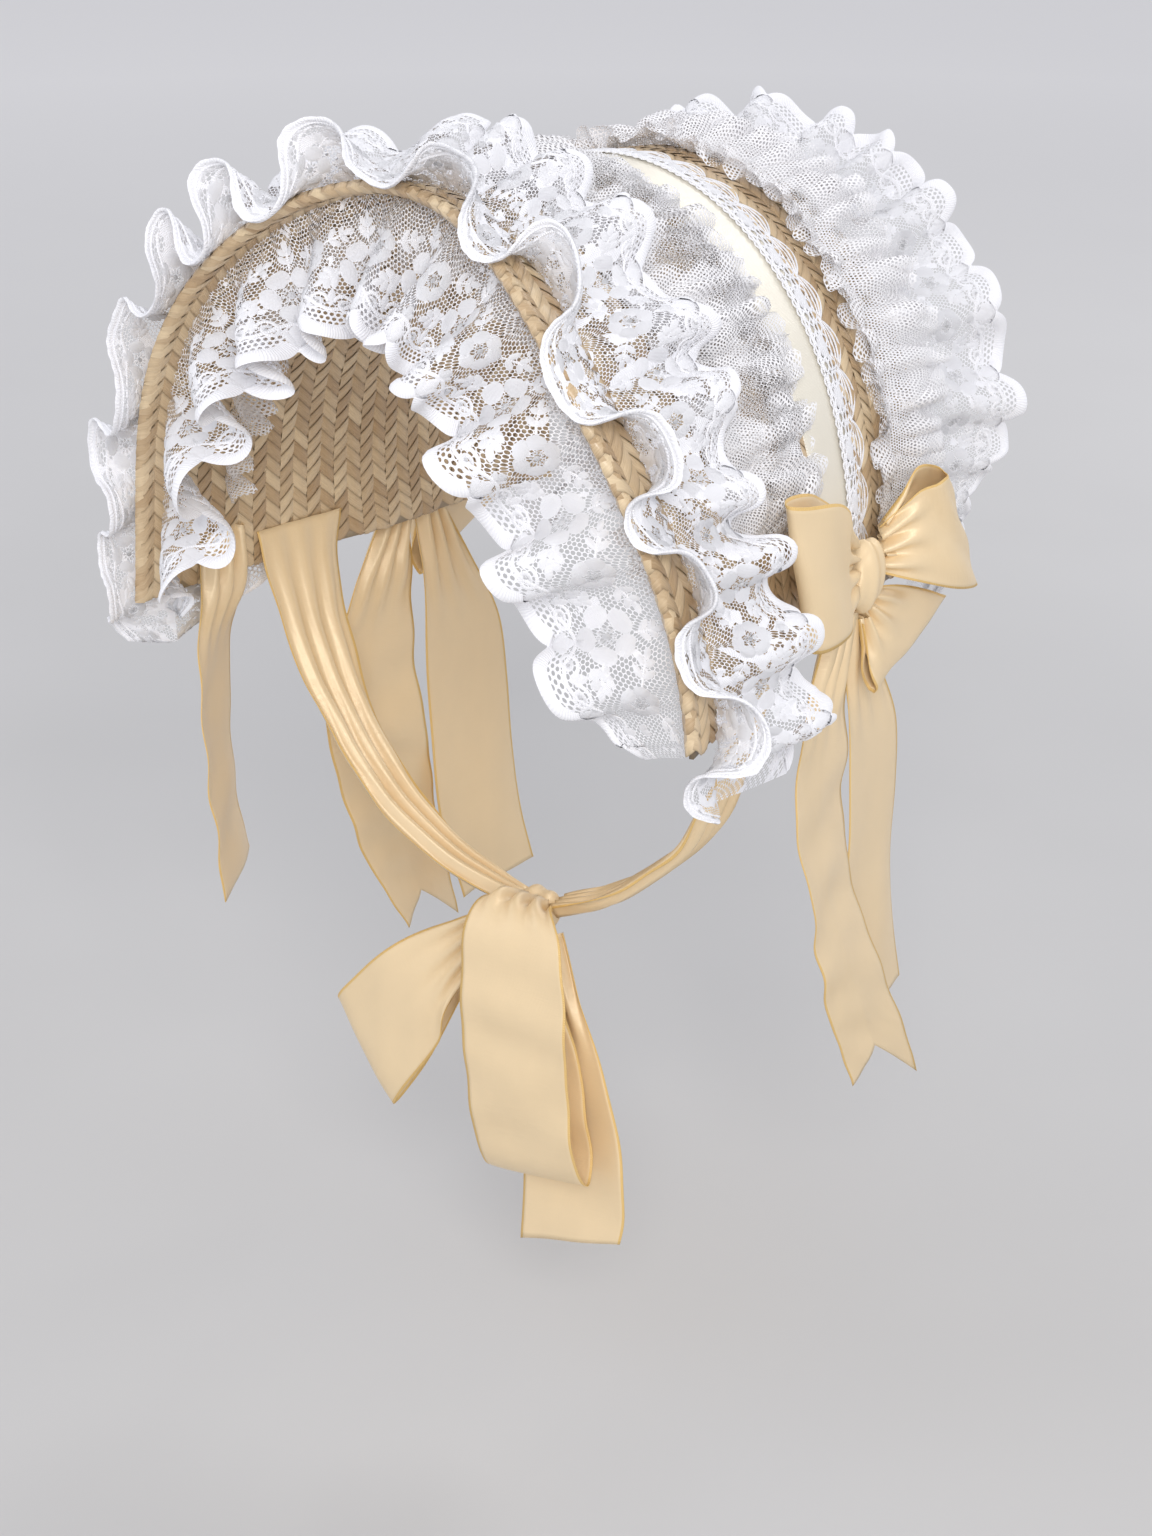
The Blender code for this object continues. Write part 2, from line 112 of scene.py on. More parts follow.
# Along a frill, by how far round the arch: how much of what stands over its seat is left, and
# how far its far edge swings back.
FULL = ((0.0, 1.0), (1.0, 1.0))
STILL = ((0.0, 0.0), (1.0, 0.0))
FRONT_SWING = ((-0.2, 0), (0.1, 0), (0.34, 6), (0.9, 6), (1.1, 4))
OUTER_SWING = both_sides((0.5, -2), (0.72, -20), (0.9, -6), (1.1, 20))
BACK_SWING = both_sides((0.95, 0), (1.16, -40))
INNER_ENDS = both_sides((0.8, 1.0), (1.02, 0.65))
BACK_ENDS = both_sides((0.7, 1.0), (0.95, 0.35))
TULLE_FRONT_ENDS = both_sides((0.5, 1.0), (0.72, 0.45))
TULLE_BACK_ENDS = both_sides((0.6, 1.0), (0.85, 0.5))


def between(x, at):
    """For each place, held to the knots: the knot before it, that knot's span, and its share."""
    at = np.clip(at, x[0], x[-1])
    k = np.clip(np.searchsorted(x, at, side="right") - 1, 0, len(x) - 2)
    span = x[k + 1] - x[k]
    return k, span, (at - x[k]) / span


def smooth_curve(x, y, at):
    """Values between knots by a cubic with the neighbours' slopes, straight beyond the ends."""
    at = np.asarray(at, float)
    slope = np.gradient(y, x)
    k, span, f = between(x, at)
    value = (
        (2 * f**3 - 3 * f**2 + 1) * y[k]
        + (f**3 - 2 * f**2 + f) * span * slope[k]
        + (3 * f**2 - 2 * f**3) * y[k + 1]
        + (f**3 - f**2) * span * slope[k + 1]
    )
    ends = np.where(at < x[0], slope[0] * (at - x[0]), slope[-1] * (at - x[-1]))
    return value + np.where((at < x[0]) | (at > x[-1]), ends, 0.0)


def eased(rows, at):
    """The second column's value between rows, level at each row and beyond the ends."""
    x, y = np.array(rows, float).T
    k, _, f = between(x, at)
    share = (1 - np.cos(math.pi * f)) / 2
    return y[k] * (1 - share) + y[k + 1] * share


def section(column, behind):
    return smooth_curve(PLACES, SECTIONS[:, column], behind)


def straw_middle(station, behind):
    """Points on the middle face of the straw."""
    station, behind = np.broadcast_arrays(station, behind)
    away = np.abs(station)
    wide, drop = section(HALF_WIDTH, behind), section(DROP, behind)
    arch = math.pi / 4 * (3 * (wide + drop) - np.sqrt((3 * wide + drop) * (wide + 3 * drop)))
    along = away * (arch + section(SIDE, behind))
    turn = np.minimum(along / arch, 1.0) * math.pi / 2
    near = np.minimum(away, 1.0)
    x = wide * np.sin(turn) + section(FLARE, behind) * near**3
    y = section(Y, behind) + section(DIP, behind) * np.sin(math.pi * near) ** 2
    y = y + section(SWEEP, behind) * near**2
    z = section(TOP, behind) - drop * (1 - np.cos(turn)) - np.maximum(along - arch, 0.0)
    return np.stack([np.sign(station) * x, y, z], axis=-1)


def normal(place, a, b, step_a, step_b):
    """The direction that the surface place(a, b) faces."""
    ahead = place(a + step_a, b) - place(a - step_a, b)
    aside = place(a, b + step_b) - place(a, b - step_b)
    out = np.cross(ahead, aside)
    return out / np.maximum(np.linalg.norm(out, axis=-1, keepdims=True), 1e-9)


def moved(place, a, b, lift, step):
    """place(a, b), moved along its normal."""
    return place(a, b) + normal(place, a, b, step, step) * np.asarray(lift)[..., None]


def straw_outward(station, behind):
    """The outward direction of the straw."""
    return normal(straw_middle, station, behind, 0.002, 1)


def over_straw(station, behind, height):
    """Points at a height over the middle face of the straw, inwards where it is negative."""
    lift = straw_outward(station, behind) * np.asarray(height)[..., None]
    return straw_middle(station, behind) + lift


def crumple(seed, along, across, longest):
    """Soft uneven waves between -1 and 1, the same on every run."""
    rng = np.random.default_rng(seed)
    total = 0.0
    for _ in range(7):
        size = rng.uniform(0.35, 1.0) * longest
        turn, shift = rng.uniform(0, math.tau, 2)
        spot = along * math.cos(turn) + across * math.sin(turn)
        total = total + np.sin(math.tau * spot / size + shift)
    return total / 4


def chance_folds(seed, count, reach, lean=0.25):
    """Folds of uneven size and spacing, the same on every run."""
    rng = np.random.default_rng(seed)
    places = np.linspace(-1.04, 1.04, count) * reach
    places = places + rng.uniform(-0.3, 0.3, count) * (places[1] - places[0])
    return np.stack([places, rng.uniform(0.5, 1.3, count), rng.uniform(-lean, lean, count)], 1)


# Over this length a strip is drawn in at each end, to this share of its width at the very end.
DRAWN_LENGTH = 26
DRAWN_SHARE = 0.55


class Frill:
    """A gathered strip: where each point of the flat strip lies once it is sewn to the straw.

    along runs from 0 to the flat length, from the wearer's right to the left. across runs from 0
    at the seam to the free edge.
    """

    # Unless a frill says otherwise: how much of its height is left round the arch, how its free
    # edge swings back, how far its folds roll over, and how high its gathers and ripples are.
    ends, swing, roll, gather, ripple = FULL, STILL, 0.45, 0.6, 2.2

    def __init__(self, rows, folds, reach, length, seed, **shape):
        self.rows, self.folds = np.array(rows, float), np.array(folds, float)
        self.reach, self.length, self.seed = reach, length, seed
        self.width = self.rows[-1, ACROSS]
        vars(self).update(shape)

    def row(self, column, across):
        return smooth_curve(self.rows[:, ACROSS], self.rows[:, column], across)

    def fold(self, column, station):
        return np.interp(station, self.folds[:, STATION], self.folds[:, column])

    def station(self, along):
        return (2 * along / self.length - 1) * self.reach

    def place(self, along, across):
        station = self.station(along)
        inside = np.clip(np.minimum(along, self.length - along) / DRAWN_LENGTH, 0.0, 1.0)
        across = across * (DRAWN_SHARE + (1 - DRAWN_SHARE) * np.sin(math.pi / 2 * inside))
        crests = self.folds[:, STATION]
        phase = math.tau * np.interp(station, crests, np.arange(len(crests), dtype=float))
        spacing = np.interp(station, (crests[1:] + crests[:-1]) / 2, np.diff(crests))
        strength = self.fold(STRENGTH, station)
        free = np.clip(across / self.width, 0.0, 1.2)
        grown = free**1.5
        # Fine gathers at the seam run out into the folds.
        fine = np.sin(along * 1.02 + 1.7 * np.sin(along * 0.11)) * (1 - np.minimum(free, 1)) ** 2
        # The free edge has small waves of its own.
        ripple = crumple(self.seed, along, across * 0.6, 40) * grown * self.ripple
        wave = np.cos(phase) * strength * self.row(FOLD, across) + fine * self.gather + ripple
        rolled = self.roll * np.minimum(strength, 1.0)
        side = rolled * grown * spacing / math.tau * np.sin(2 * phase)
        side = side + self.fold(LEAN, station) * spacing * grown * 0.8
        rise, run = (
            self.row(column, across + 0.5) - self.row(column, across - 0.5)
            for column in (HEIGHT, BEHIND)
        )
        size = np.hypot(rise, run)
        behind = self.row(BEHIND, across) - rise / size * wave
        behind = behind + free * eased(self.swing, station)
        seat = self.rows[0, HEIGHT]
        lift = (self.row(HEIGHT, across) + run / size * wave - seat) * eased(self.ends, station)
        return over_straw(station + side, behind, seat + lift)


class PuffedFrill(Frill):
    """A tulle layer: a frill with a crumple over its folds."""

    roll, gather, ripple = 0.5, 0.5, 2.0

    def place(self, along, across):
        out = straw_outward(self.station(along), self.row(BEHIND, across))
        free = np.clip(across / self.width, 0.0, 1.0)
        lift = 2.8 * crumple(self.seed, along, across, 46)
        lift = (lift + 0.7 * crumple(self.seed + 50, along, across, 15)) * free**0.5
        return super().place(along, across) + out * lift[..., None]


def linked(name, data):
    """A new object of the scene."""
    obj = bpy.data.objects.new(name, data)
    bpy.context.scene.collection.objects.link(obj)
    return obj


def smooth_object(name, mesh):
    mesh.shade_smooth()
    return linked(name, mesh)


def points_of(mesh):
    flat = np.empty(len(mesh.vertices) * 3)
    mesh.vertices.foreach_get("co", flat)
    return flat.reshape(-1, 3)


def put(mesh, points):
    """Moves the mesh's points to places given in millimetres."""
    mesh.vertices.foreach_set("co", (points * MM).astype(np.float32).ravel())
    mesh.update()


def set_map(mesh, values):
    """Gives the mesh a UV map from one pair for each vertex."""
    layer = mesh.uv_layers.new(name="map")
    corner = np.empty(len(mesh.loops), dtype=np.int32)
    mesh.loops.foreach_get("vertex_index", corner)
    pairs = np.stack(values, axis=-1)[corner]
    layer.data.foreach_set("uv", pairs.astype(np.float32).ravel())


def grid_mesh(name, columns, rows):
    """A flat grid, 1 wide and 1 high, round the origin."""
    bm = bmesh.new()
    bmesh.ops.create_grid(bm, x_segments=columns, y_segments=rows, size=0.5)
    mesh = bpy.data.meshes.new(name)
    bm.to_mesh(mesh)
    bm.free()
    return mesh


def surface(name, columns, rows, place, spread):
    """A piece from a grid whose point at (a, b), both from 0 to 1, lies at place(a, b).

    spread(a, b) gives the piece's own map. Both are in millimetres.
    """
    mesh = grid_mesh(name, columns, rows)
    a, b, _ = (points_of(mesh) + 0.5).T
    put(mesh, place(a, b))
    set_map(mesh, spread(a, b))
    return smooth_object(name, mesh)


def thicken(piece, thickness, offset=0.0):
    wall = piece.modifiers.new("wall", "SOLIDIFY")
    wall.thickness = thickness * MM
    wall.offset = offset


def sewn(piece, material, nodes=()):
    """Gives a finished piece its material, hangs it on the root, and hides the nodes that it
    stands for.
    """
    piece.data.materials.clear()
    piece.data.materials.append(material)
    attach(piece, "root")
    if nodes:
        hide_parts(*nodes)
    return piece


def stepped(x, y, angle, distance):
    """The point at a distance from (x, y) in the direction of angle, in degrees."""
    turn = math.radians(angle)
    return x + distance * math.cos(turn), y + distance * math.sin(turn)


class Flat:
    """Embroidery drawn flat: raised pads and cords in millimetres, x along and y across."""

    def __init__(self):
        self.bm = bmesh.new()
        self.layer = self.bm.loops.layers.uv.new("map")

    def strip(self, columns, rows, place):
        """A raised strip. place(a, b) gives x, y and the height over the cloth."""
        made = bmesh.ops.create_grid(self.bm, x_segments=columns, y_segments=rows, size=0.5)
        verts = made["verts"]
        a, b = np.array([v.co.xy for v in verts]).T + 0.5
        middle = np.full_like(a, 0.5)
        ahead = [p - q for p, q in zip(place(a + 0.01, middle), place(a - 0.01, middle))]
        length = np.linalg.norm(ahead, axis=0).max() * 50
        for v, *point, s, t in zip(verts, *place(a, b), a * length, b):
            v.co = point
            for loop in v.link_loops:
                loop[self.layer].uv = s, t

    def leaf(self, x, y, angle, length, width, high=0.5, blunt=0.6, columns=6):
        """A pad from (x, y) in the direction of angle, in degrees."""
        c, s = stepped(0.0, 0.0, angle, 1.0)

        def place(a, b):
            shape = np.clip(1 - np.abs(2 * a - 1) ** 2, 0.0, 1) ** blunt
            u, v = a * length, (b - 0.5) * width * shape
            rise = high * (1 - (2 * b - 1) ** 2) * np.sqrt(shape)
            return x + u * c - v * s, y + u * s + v * c, rise

        self.strip(columns, 2, place)

    def cord(self, path, width, high, columns):
        """A raised cord along path(a)."""

        def place(a, b):
            x, y = path(a)
            dx, dy = (p - q for p, q in zip(path(a + 0.01), path(a - 0.01)))
            reach = (b - 0.5) * width / np.hypot(dx, dy)
            return x - dy * reach, y + dx * reach, high * (1 - (2 * b - 1) ** 2)

        self.strip(columns, 2, place)

    def line(self, y, wave, waves, width, high, columns):
        """A cord along a whole repeat, with waves to both sides of y."""

        def path(a):
            return a * REPEAT, y + wave * np.cos(math.tau * waves * a)

        self.cord(path, width, high, columns)

    def scroll(self, x, y, size, side):
        """A tendril that rises from (x, y) and curls in, to the side given by 1 or -1."""

        def path(a):
            turn = a * 1.35 * math.tau
            radius = size * (1 - 0.72 * a)
            return x + side * (size - radius * np.cos(turn)), y - radius * np.sin(turn)

        self.cord(path, 1.2, 0.45, 20)
        self.leaf(x + side * size * 0.85, y - size * 0.12, 90, size * 0.45, size * 0.45)

    def flower(self, x, y, size, petals=5):
        ring, core = 0.34 * size, 0.14 * size
        for k in range(petals):
            angle = 90.0 + 360.0 * k / petals
            spot = stepped(x, y, angle, ring)
            self.leaf(*spot, angle, size - ring, size * 0.84, 0.6, 0.42)
        for k in range(2 * petals):
            angle = 90.0 + 180.0 * k / petals
            spot = stepped(x, y, angle, core)
            self.leaf(*spot, angle, 0.22 * size, 0.09 * size, 0.4, columns=3)
        self.leaf(x - core, y, 0, 2 * core, 2 * core, 0.7, 0.5, 4)

    def spray(self, x, y, angle, length, leaves, size):
        """A stem with leaves in pairs."""
        self.cord(lambda a: stepped(x, y, angle, a * length), 0.8, 0.35, 6)
        for k in range(leaves):
            f = (k + 0.6) / leaves
            spot = stepped(x, y, angle, f * length)
            for side in (-48, 48):
                self.leaf(*spot, angle + side, size * (1 - 0.35 * f), size * 0.42, 0.45)
        self.leaf(*stepped(x, y, angle, length), angle, size * 0.8, size * 0.4, 0.45)

    def pair(self, draw, middle, x, y, angle, *sizes):
        """Draws a leaf or spray at x from the middle, and its mirror image."""
        draw(middle + x, y, angle, *sizes)
        draw(middle - x, y, 180 - angle, *sizes)

    def mesh(self, name, both=True):
        """The finished drawing. Embroidery stands out on both sides of its cloth."""
        if both:
            made = bmesh.ops.duplicate(self.bm, geom=self.bm.faces[:] + self.bm.verts[:])["geom"]
            faces = [g for g in made if isinstance(g, bmesh.types.BMFace)]
            verts = [g for g in made if isinstance(g, bmesh.types.BMVert)]
            bmesh.ops.scale(self.bm, verts=verts, vec=(1, 1, -1))
            bmesh.ops.reverse_faces(self.bm, faces=faces)
        bmesh.ops.remove_doubles(self.bm, verts=self.bm.verts, dist=0.0005)
        for edge in self.bm.edges:
            edge.smooth = not both or max(abs(v.co.z) for v in edge.verts) > 0.001
        mesh = bpy.data.meshes.new(name)
        self.bm.to_mesh(mesh)
        self.bm.free()
        return mesh


def repeated(name, unit, *repeats):
    """The unit mesh, repeated by each step and count in turn."""
    obj = linked(name, unit)
    for step, count in repeats:
        array = obj.modifiers.new("repeat", "ARRAY")
        array.use_relative_offset = False
        array.use_constant_offset = True
        array.constant_offset_displace = step
        array.count = count
    made = obj.evaluated_get(bpy.context.evaluated_depsgraph_get())
    mesh = bpy.data.meshes.new_from_object(made)
    bpy.data.objects.remove(obj)
    bpy.data.meshes.remove(unit)
    mesh.name = name
    return mesh


def laid_on(name, mesh, lifted):
    """A piece from a flat mesh, x along, y across and z up, moved on to a surface."""
    put(mesh, lifted(*points_of(mesh).T))
    return smooth_object(name, mesh)


# The scalloped edge of the wide lace: round lobes, each drawn with one compass stroke, a border
# along them, and a wavy contour inside.
LOBE = 23.0
LOBE_DEPTH = 7.0
LOBE_RADIUS = (LOBE**2 / 4 + LOBE_DEPTH**2) / (2 * LOBE_DEPTH)
REPEAT = 2 * LOBE
BORDER = 4.8
CONTOUR = 13.0
CONTOUR_WAVE = 3.0


def lobe_edge(along):
    """How far the scalloped edge lies inside the lobes' tips."""
    x = np.mod(along, LOBE) - LOBE / 2
    return LOBE_RADIUS - np.sqrt(LOBE_RADIUS**2 - x**2)


def scalloped_repeat(width):
    """One repeat of the wide lace, two lobes long."""
    flat = Flat()
    centre = width - LOBE_RADIUS
    half = math.asin(LOBE / 2 / LOBE_RADIUS)
    lobes = (LOBE / 2, 1.5 * LOBE)
    for middle in lobes:

        def border(a, b):
            turn = (0.5 - a) * 2 * half
            radius = LOBE_RADIUS + 0.3 - b * BORDER
            high = 0.7 * (1 - (2 * b - 1) ** 4)
            return middle + radius * np.sin(turn), centre + radius * np.cos(turn), high

        flat.strip(18, 4, border)
    flat.line(width - CONTOUR, -CONTOUR_WAVE, 2, 1.3, 0.5, 36)
    base = width - CONTOUR - CONTOUR_WAVE
    for x in (0.0, LOBE):
        flat.leaf(x, width - LOBE_DEPTH - 0.5, -90, 8.5, 4.2, 0.6)
        flat.pair(flat.leaf, x, 0, width - LOBE_DEPTH - 0.5, -58, 6.5, 2.6, 0.6)
        flat.leaf(x, base, -90, 4.2, 3.0, 0.7, 0.5)
        flat.pair(flat.leaf, x, 0, base, -40, 3.6, 1.7, 0.5)
    base = width - CONTOUR + CONTOUR_WAVE - 1
    for x in lobes:
        for side in (-1, 1):
            flat.scroll(x + 0.8 * side, base - 1.5, 3.6, side)
        flat.leaf(x, base, -90, 6.5, 2.4, 0.5)
    top = width - CONTOUR - 13.5
    flat.flower(0.0, top, 10.0)
    flat.pair(flat.spray, 0, 8.8, top + 3, 30, 6, 2, 6.0)
    flat.flower(LOBE, top - 3.5, 7.4, 6)
    flat.pair(flat.spray, LOBE, 6.4, top - 7, -28, 8, 2, 5.6)
    flat.spray(0.0, top - 9, -90, 6, 2, 5.4)
    for x in lobes:
        flat.pair(flat.leaf, x, -1.5, top + 1.5, 70, 5.0, 2.4)
    return flat.mesh("scalloped_repeat")


def plain_repeat(width):
    """One repeat of the strip with the plain corded edge."""
    flat = Flat()
    flat.line(width - 1.4, 0.3, 10, 3.0, 0.8, 60)
    flat.line(width - 4.4, 0.0, 1, 1.1, 0.5, 46)
    flat.line(width - 8.6, -1.8, 2, 1.5, 0.5, 46)
    for k in range(8):
        for tilt in (-130, -50):
            flat.leaf((k + 0.5) * REPEAT / 8, width - 4.9, tilt, 3.2, 1.6, 0.45, columns=4)
    top = width - 17
    flat.flower(0.0, top, 8.0)
    flat.pair(flat.spray, 0, 7.2, top + 1, 16, 6, 2, 6.0)
    flat.flower(LOBE, top + 0.5, 6.6, 6)
    flat.spray(LOBE, top - 5.5, -90, 4, 1, 5.0)
    flat.pair(flat.spray, 0, 6, top - 6, -40, 7, 2, 5.0)
    return flat.mesh("plain_repeat")


# The cotton trim: the length of a repeat and of each loop, and how far across the loops start.
CLUNY_REPEAT = 35.0
CLUNY_LOOP = 17.5
CLUNY_BASE = 13.6


def cluny_repeat():
    """One repeat of the cotton trim: crossing threads, an oval, and loops along one edge."""
    flat = Flat()

    def run(height, wave=0.0, waves=4, shift=0.0, width=0.85, columns=32):
        def path(a):
            swing = wave * np.sin(math.tau * (waves * a + shift))
            return a * CLUNY_REPEAT, height + swing

        flat.cord(path, width, 0.45, columns)

    def arc(height, rise, start):
        def path(a):
            return (start + a) * CLUNY_LOOP, height + rise * np.abs(np.sin(math.pi * a)) ** 0.8

        flat.cord(path, 0.85, 0.5, 14)

    run(0.9, 0.5, 10, 0.0, 0.9, 50)
    run(2.2)
    for k, height in enumerate((4.6, 8.2, 11.6)):
        run(height, 1.9, 4, 0.5 * k)
        run(height, 1.9, 4, 0.5 * k + 0.5)
    for height in (3.3, 6.4, 9.9):
        run(height, 0.5, 4, 0.25, 0.7)
    run(CLUNY_BASE, 0.3, 2)
    for start in (0, 1):
        for k in range(3):
            arc(CLUNY_BASE + 0.4 * k, 2.0 + 1.75 * k, start)
    for x in (0.25, 0.75):
        for step in range(-2, 3):
            left = x * CLUNY_REPEAT - 5.2 + 0.6 * abs(step)
            flat.leaf(left, 7.4 + 1.25 * step, 0, 10.4 - 1.2 * abs(step), 1.35, 0.6, 0.35)
    return flat.mesh("cluny_repeat", both=False)


def feed(tree, sockets, inputs):
    """Sets a node's inputs to numbers and colours, or links them to values."""
    for key, value in inputs.items():
        if isinstance(value, Value):
            tree.links.new(value.socket, sockets[key])
        else:
            sockets[key].default_value = value


def maths(operation, swapped=False):
    """A method of Value that adds one Math node."""

    def method(self, *others):
        values = (self, *others)
        return self.math(operation, *(values[::-1] if swapped else values))

    return method


class Value:
    """A node's output. An expression on values adds the Math nodes that it needs."""

    def __init__(self, tree, socket):
        self.tree, self.socket = tree, socket

    def math(self, operation, *values):
        node = self.tree.nodes.new("ShaderNodeMath")
        node.operation = operation
        feed(self.tree, node.inputs, dict(enumerate(values)))
        return Value(self.tree, node.outputs[0])

    __add__, __radd__ = maths("ADD"), maths("ADD", True)
    __sub__, __rsub__ = maths("SUBTRACT"), maths("SUBTRACT", True)
    __mul__, __truediv__, __pow__ = maths("MULTIPLY"), maths("DIVIDE"), maths("POWER")
    __lt__, __gt__ = maths("LESS_THAN"), maths("GREATER_THAN")
    __abs__, floor = maths("ABSOLUTE"), maths("FLOOR")
    least, most = maths("MINIMUM"), maths("MAXIMUM")

    def wave(self, size):
        return self.math("SINE", self * (math.tau / size))

    def wrapped(self, size):
        """The value folded into a span of that size round 0."""
        return self.math("WRAP", self, size / 2, -size / 2)


class Finish:
    """A material: constants on its shader, and nodes for what varies over the surface."""

    def __init__(self, name, **constants):
        self.material = bpy.data.materials.new(name)
        self.material.use_nodes = True
        self.tree = self.material.node_tree
        self.inputs = self.tree.nodes["Principled BSDF"].inputs
        for key, value in constants.items():
            self.inputs[key.replace("_", " ")].default_value = value

    def node(self, kind, inputs, output=0, **settings):
        """The output of a new node."""
        node = self.tree.nodes.new("ShaderNode" + kind)
        for name, value in settings.items():
            setattr(node, name, value)
        feed(self.tree, node.inputs, inputs)
        return Value(self.tree, node.outputs[output])

    def map(self):
        """The two coordinates of the piece's own map, in millimetres."""
        x = self.node("SeparateXYZ", {"Vector": self.node("UVMap", {}, uv_map="map")})
        return x, Value(self.tree, x.socket.node.outputs["Y"])

    def noise(self, x, y, z=0.0, detail=2.0):
        spot = self.node("CombineXYZ", {"X": x, "Y": y, "Z": z})
        return self.node("TexNoise", {"Vector": spot, "Scale": 1.0, "Detail": detail})

    def chance(self, number):
        """A fixed random number for each whole number."""
        return self.node("TexWhiteNoise", {"W": number}, noise_dimensions="1D")

    def blend(self, share, first, second):
        return self.node("Mix", {0: share, 6: first, 7: second}, 2, data_type="RGBA")

    def done(self, colour, roughness, relief, depth, cover=1.0):
        """The material. Where relief is 1 it is as high as depth, in millimetres."""
        bump = self.node("Bump", {"Strength": 1.0, "Distance": depth * MM, "Height": relief})
        inputs = {"Base Color": colour, "Roughness": roughness, "Alpha": cover, "Normal": bump}
        feed(self.tree, self.inputs, inputs)
        return self.material


def setting(name):
    return getattr(bpy.context.scene.bonnet, name)


def rgba(name, factor=1.0):
    """A colour from the settings."""
    return (*(c * factor for c in setting(name)), 1.0)


def mesh_holes(u, v, pitch, radius):
    """1 in the thread of a net whose round holes lie in a honeycomb, and 0 in the holes."""
    tall = pitch * math.sqrt(3)
    a, b = u.wrapped(pitch), v.wrapped(tall)
    c, d = (u + pitch / 2).wrapped(pitch), (v + tall / 2).wrapped(tall)
    nearest = (a * a + b * b).least(c * c + d * d)
    return nearest > radius * radius


# On the straw's map each strand has a stretch of its own, and runs along a part of it.
STRAND_MAP = 40.0
STRAND_START = 4.0
STRAND_LENGTH = 8.8
STRAND_WIDTH = 5.2


def straw_finish(name, dark=1.0):
    finish = Finish(name, Specular_IOR_Level=0.6, Coat_Weight=0.5, Coat_Roughness=0.2)
    u, v = finish.map()
    strand = (u / STRAND_MAP).floor()
    streak = finish.noise(u * 0.22, v * 3.4, strand * 3.7, 3.0)
    share = streak * 0.5 + finish.chance(strand) * 0.5
    colour = finish.blend(share, rgba("straw_dark", dark), rgba("straw_light", dark))
    # Painted shade: each strand is painted darker towards its sides, as painted shade in the gaps
    # between strands.
    edge = abs(v - STRAND_WIDTH / 2) / (STRAND_WIDTH / 2)
    colour = finish.blend((edge**5) * 0.55, colour, rgba("straw_dark", 0.35 * dark))
    return finish.done(colour, 0.34 + streak * 0.3, streak, 0.25)


def stitch_finish(name):
    """Satin stitch: threads side by side across each pad and cord."""
    finish = Finish(name, Specular_IOR_Level=0.3, Sheen_Weight=0.25, Sheen_Roughness=0.5)
    u, v = finish.map()
    uneven = finish.noise(u * 0.7, v * 2.0)
    groove = (u + uneven * 0.35).wave(0.8) * 0.5 + 0.5
    # Painted shade: the grooves between threads are painted in the shaded lace colour; uneven adds
    # tone at random.
    share = groove * 0.6 + uneven * 0.5
    colour = finish.blend(share, rgba("lace_shade"), rgba("lace_colour"))
    return finish.done(colour, 0.62 + uneven * 0.25, groove, 0.12)


# From a lace's free edge: how far its ground is solid, without and with eyelets, and how far the
# eyelets reach. Then the eyelets' spacing and radius.
PLAIN_EDGE = 4.2
SOLID_EDGE = 4.7
EYELETS_END = 9.4
EYELET_PITCH = 1.9
EYELET_RADIUS = 0.62


def lace_net_finish(name, eyelets, filled):
    """Fine net. v counts from the free edge, where the ground is solid with rows of eyelets.

    filled is how much of the net, from 0 to 1, is darned full of thread.
    """
    finish = Finish(name, Specular_IOR_Level=0.25, Sheen_Weight=0.2, Sheen_Roughness=0.6)
    u, v = finish.map()
    darned = finish.noise(u * 0.13, v * 0.13, 7.0, 3.0) > (0.7 - 0.35 * filled)
    pitch = setting("net_pitch")
    net = mesh_holes(u, v, pitch, pitch * 0.42).most(darned)
    if eyelets:
        rows = mesh_holes(u, v, EYELET_PITCH, EYELET_RADIUS)
        inside = v > EYELETS_END
        cover = (net * inside).most(rows * (1 - inside)).most(v < SOLID_EDGE)
    else:
        cover = net.most(v < PLAIN_EDGE)
    uneven = finish.noise(u * 0.35, v * 0.35)
    colour = finish.blend(uneven, rgba("lace_shade"), rgba("lace_colour"))
    weave = u.wave(0.9) * v.wave(0.9)
    return finish.done(colour, 0.75 + uneven * 0.15, weave, 0.08, cover)


def tulle_finish(name):
    finish = Finish(name, Specular_IOR_Level=0.3, Sheen_Weight=0.15, Sheen_Roughness=0.5)
    u, v = finish.map()
    # Where the layers lie flat the net is stretched open.
    patch = ((finish.noise(u * 0.026, v * 0.034) - 0.56) * 20).most(0.0).least(1.0)
    pitch = setting("tulle_pitch")
    cover = mesh_holes(u, v, pitch, (patch * 0.15 + 0.31) * pitch)
    uneven = finish.noise(u * 0.12, v * 0.12)
    colour = finish.blend(uneven, rgba("tulle_colour", 0.95), rgba("tulle_colour"))
    return finish.done(colour, 0.6 + uneven * 0.2, u.wave(0.7) * v.wave(0.7), 0.06, cover)


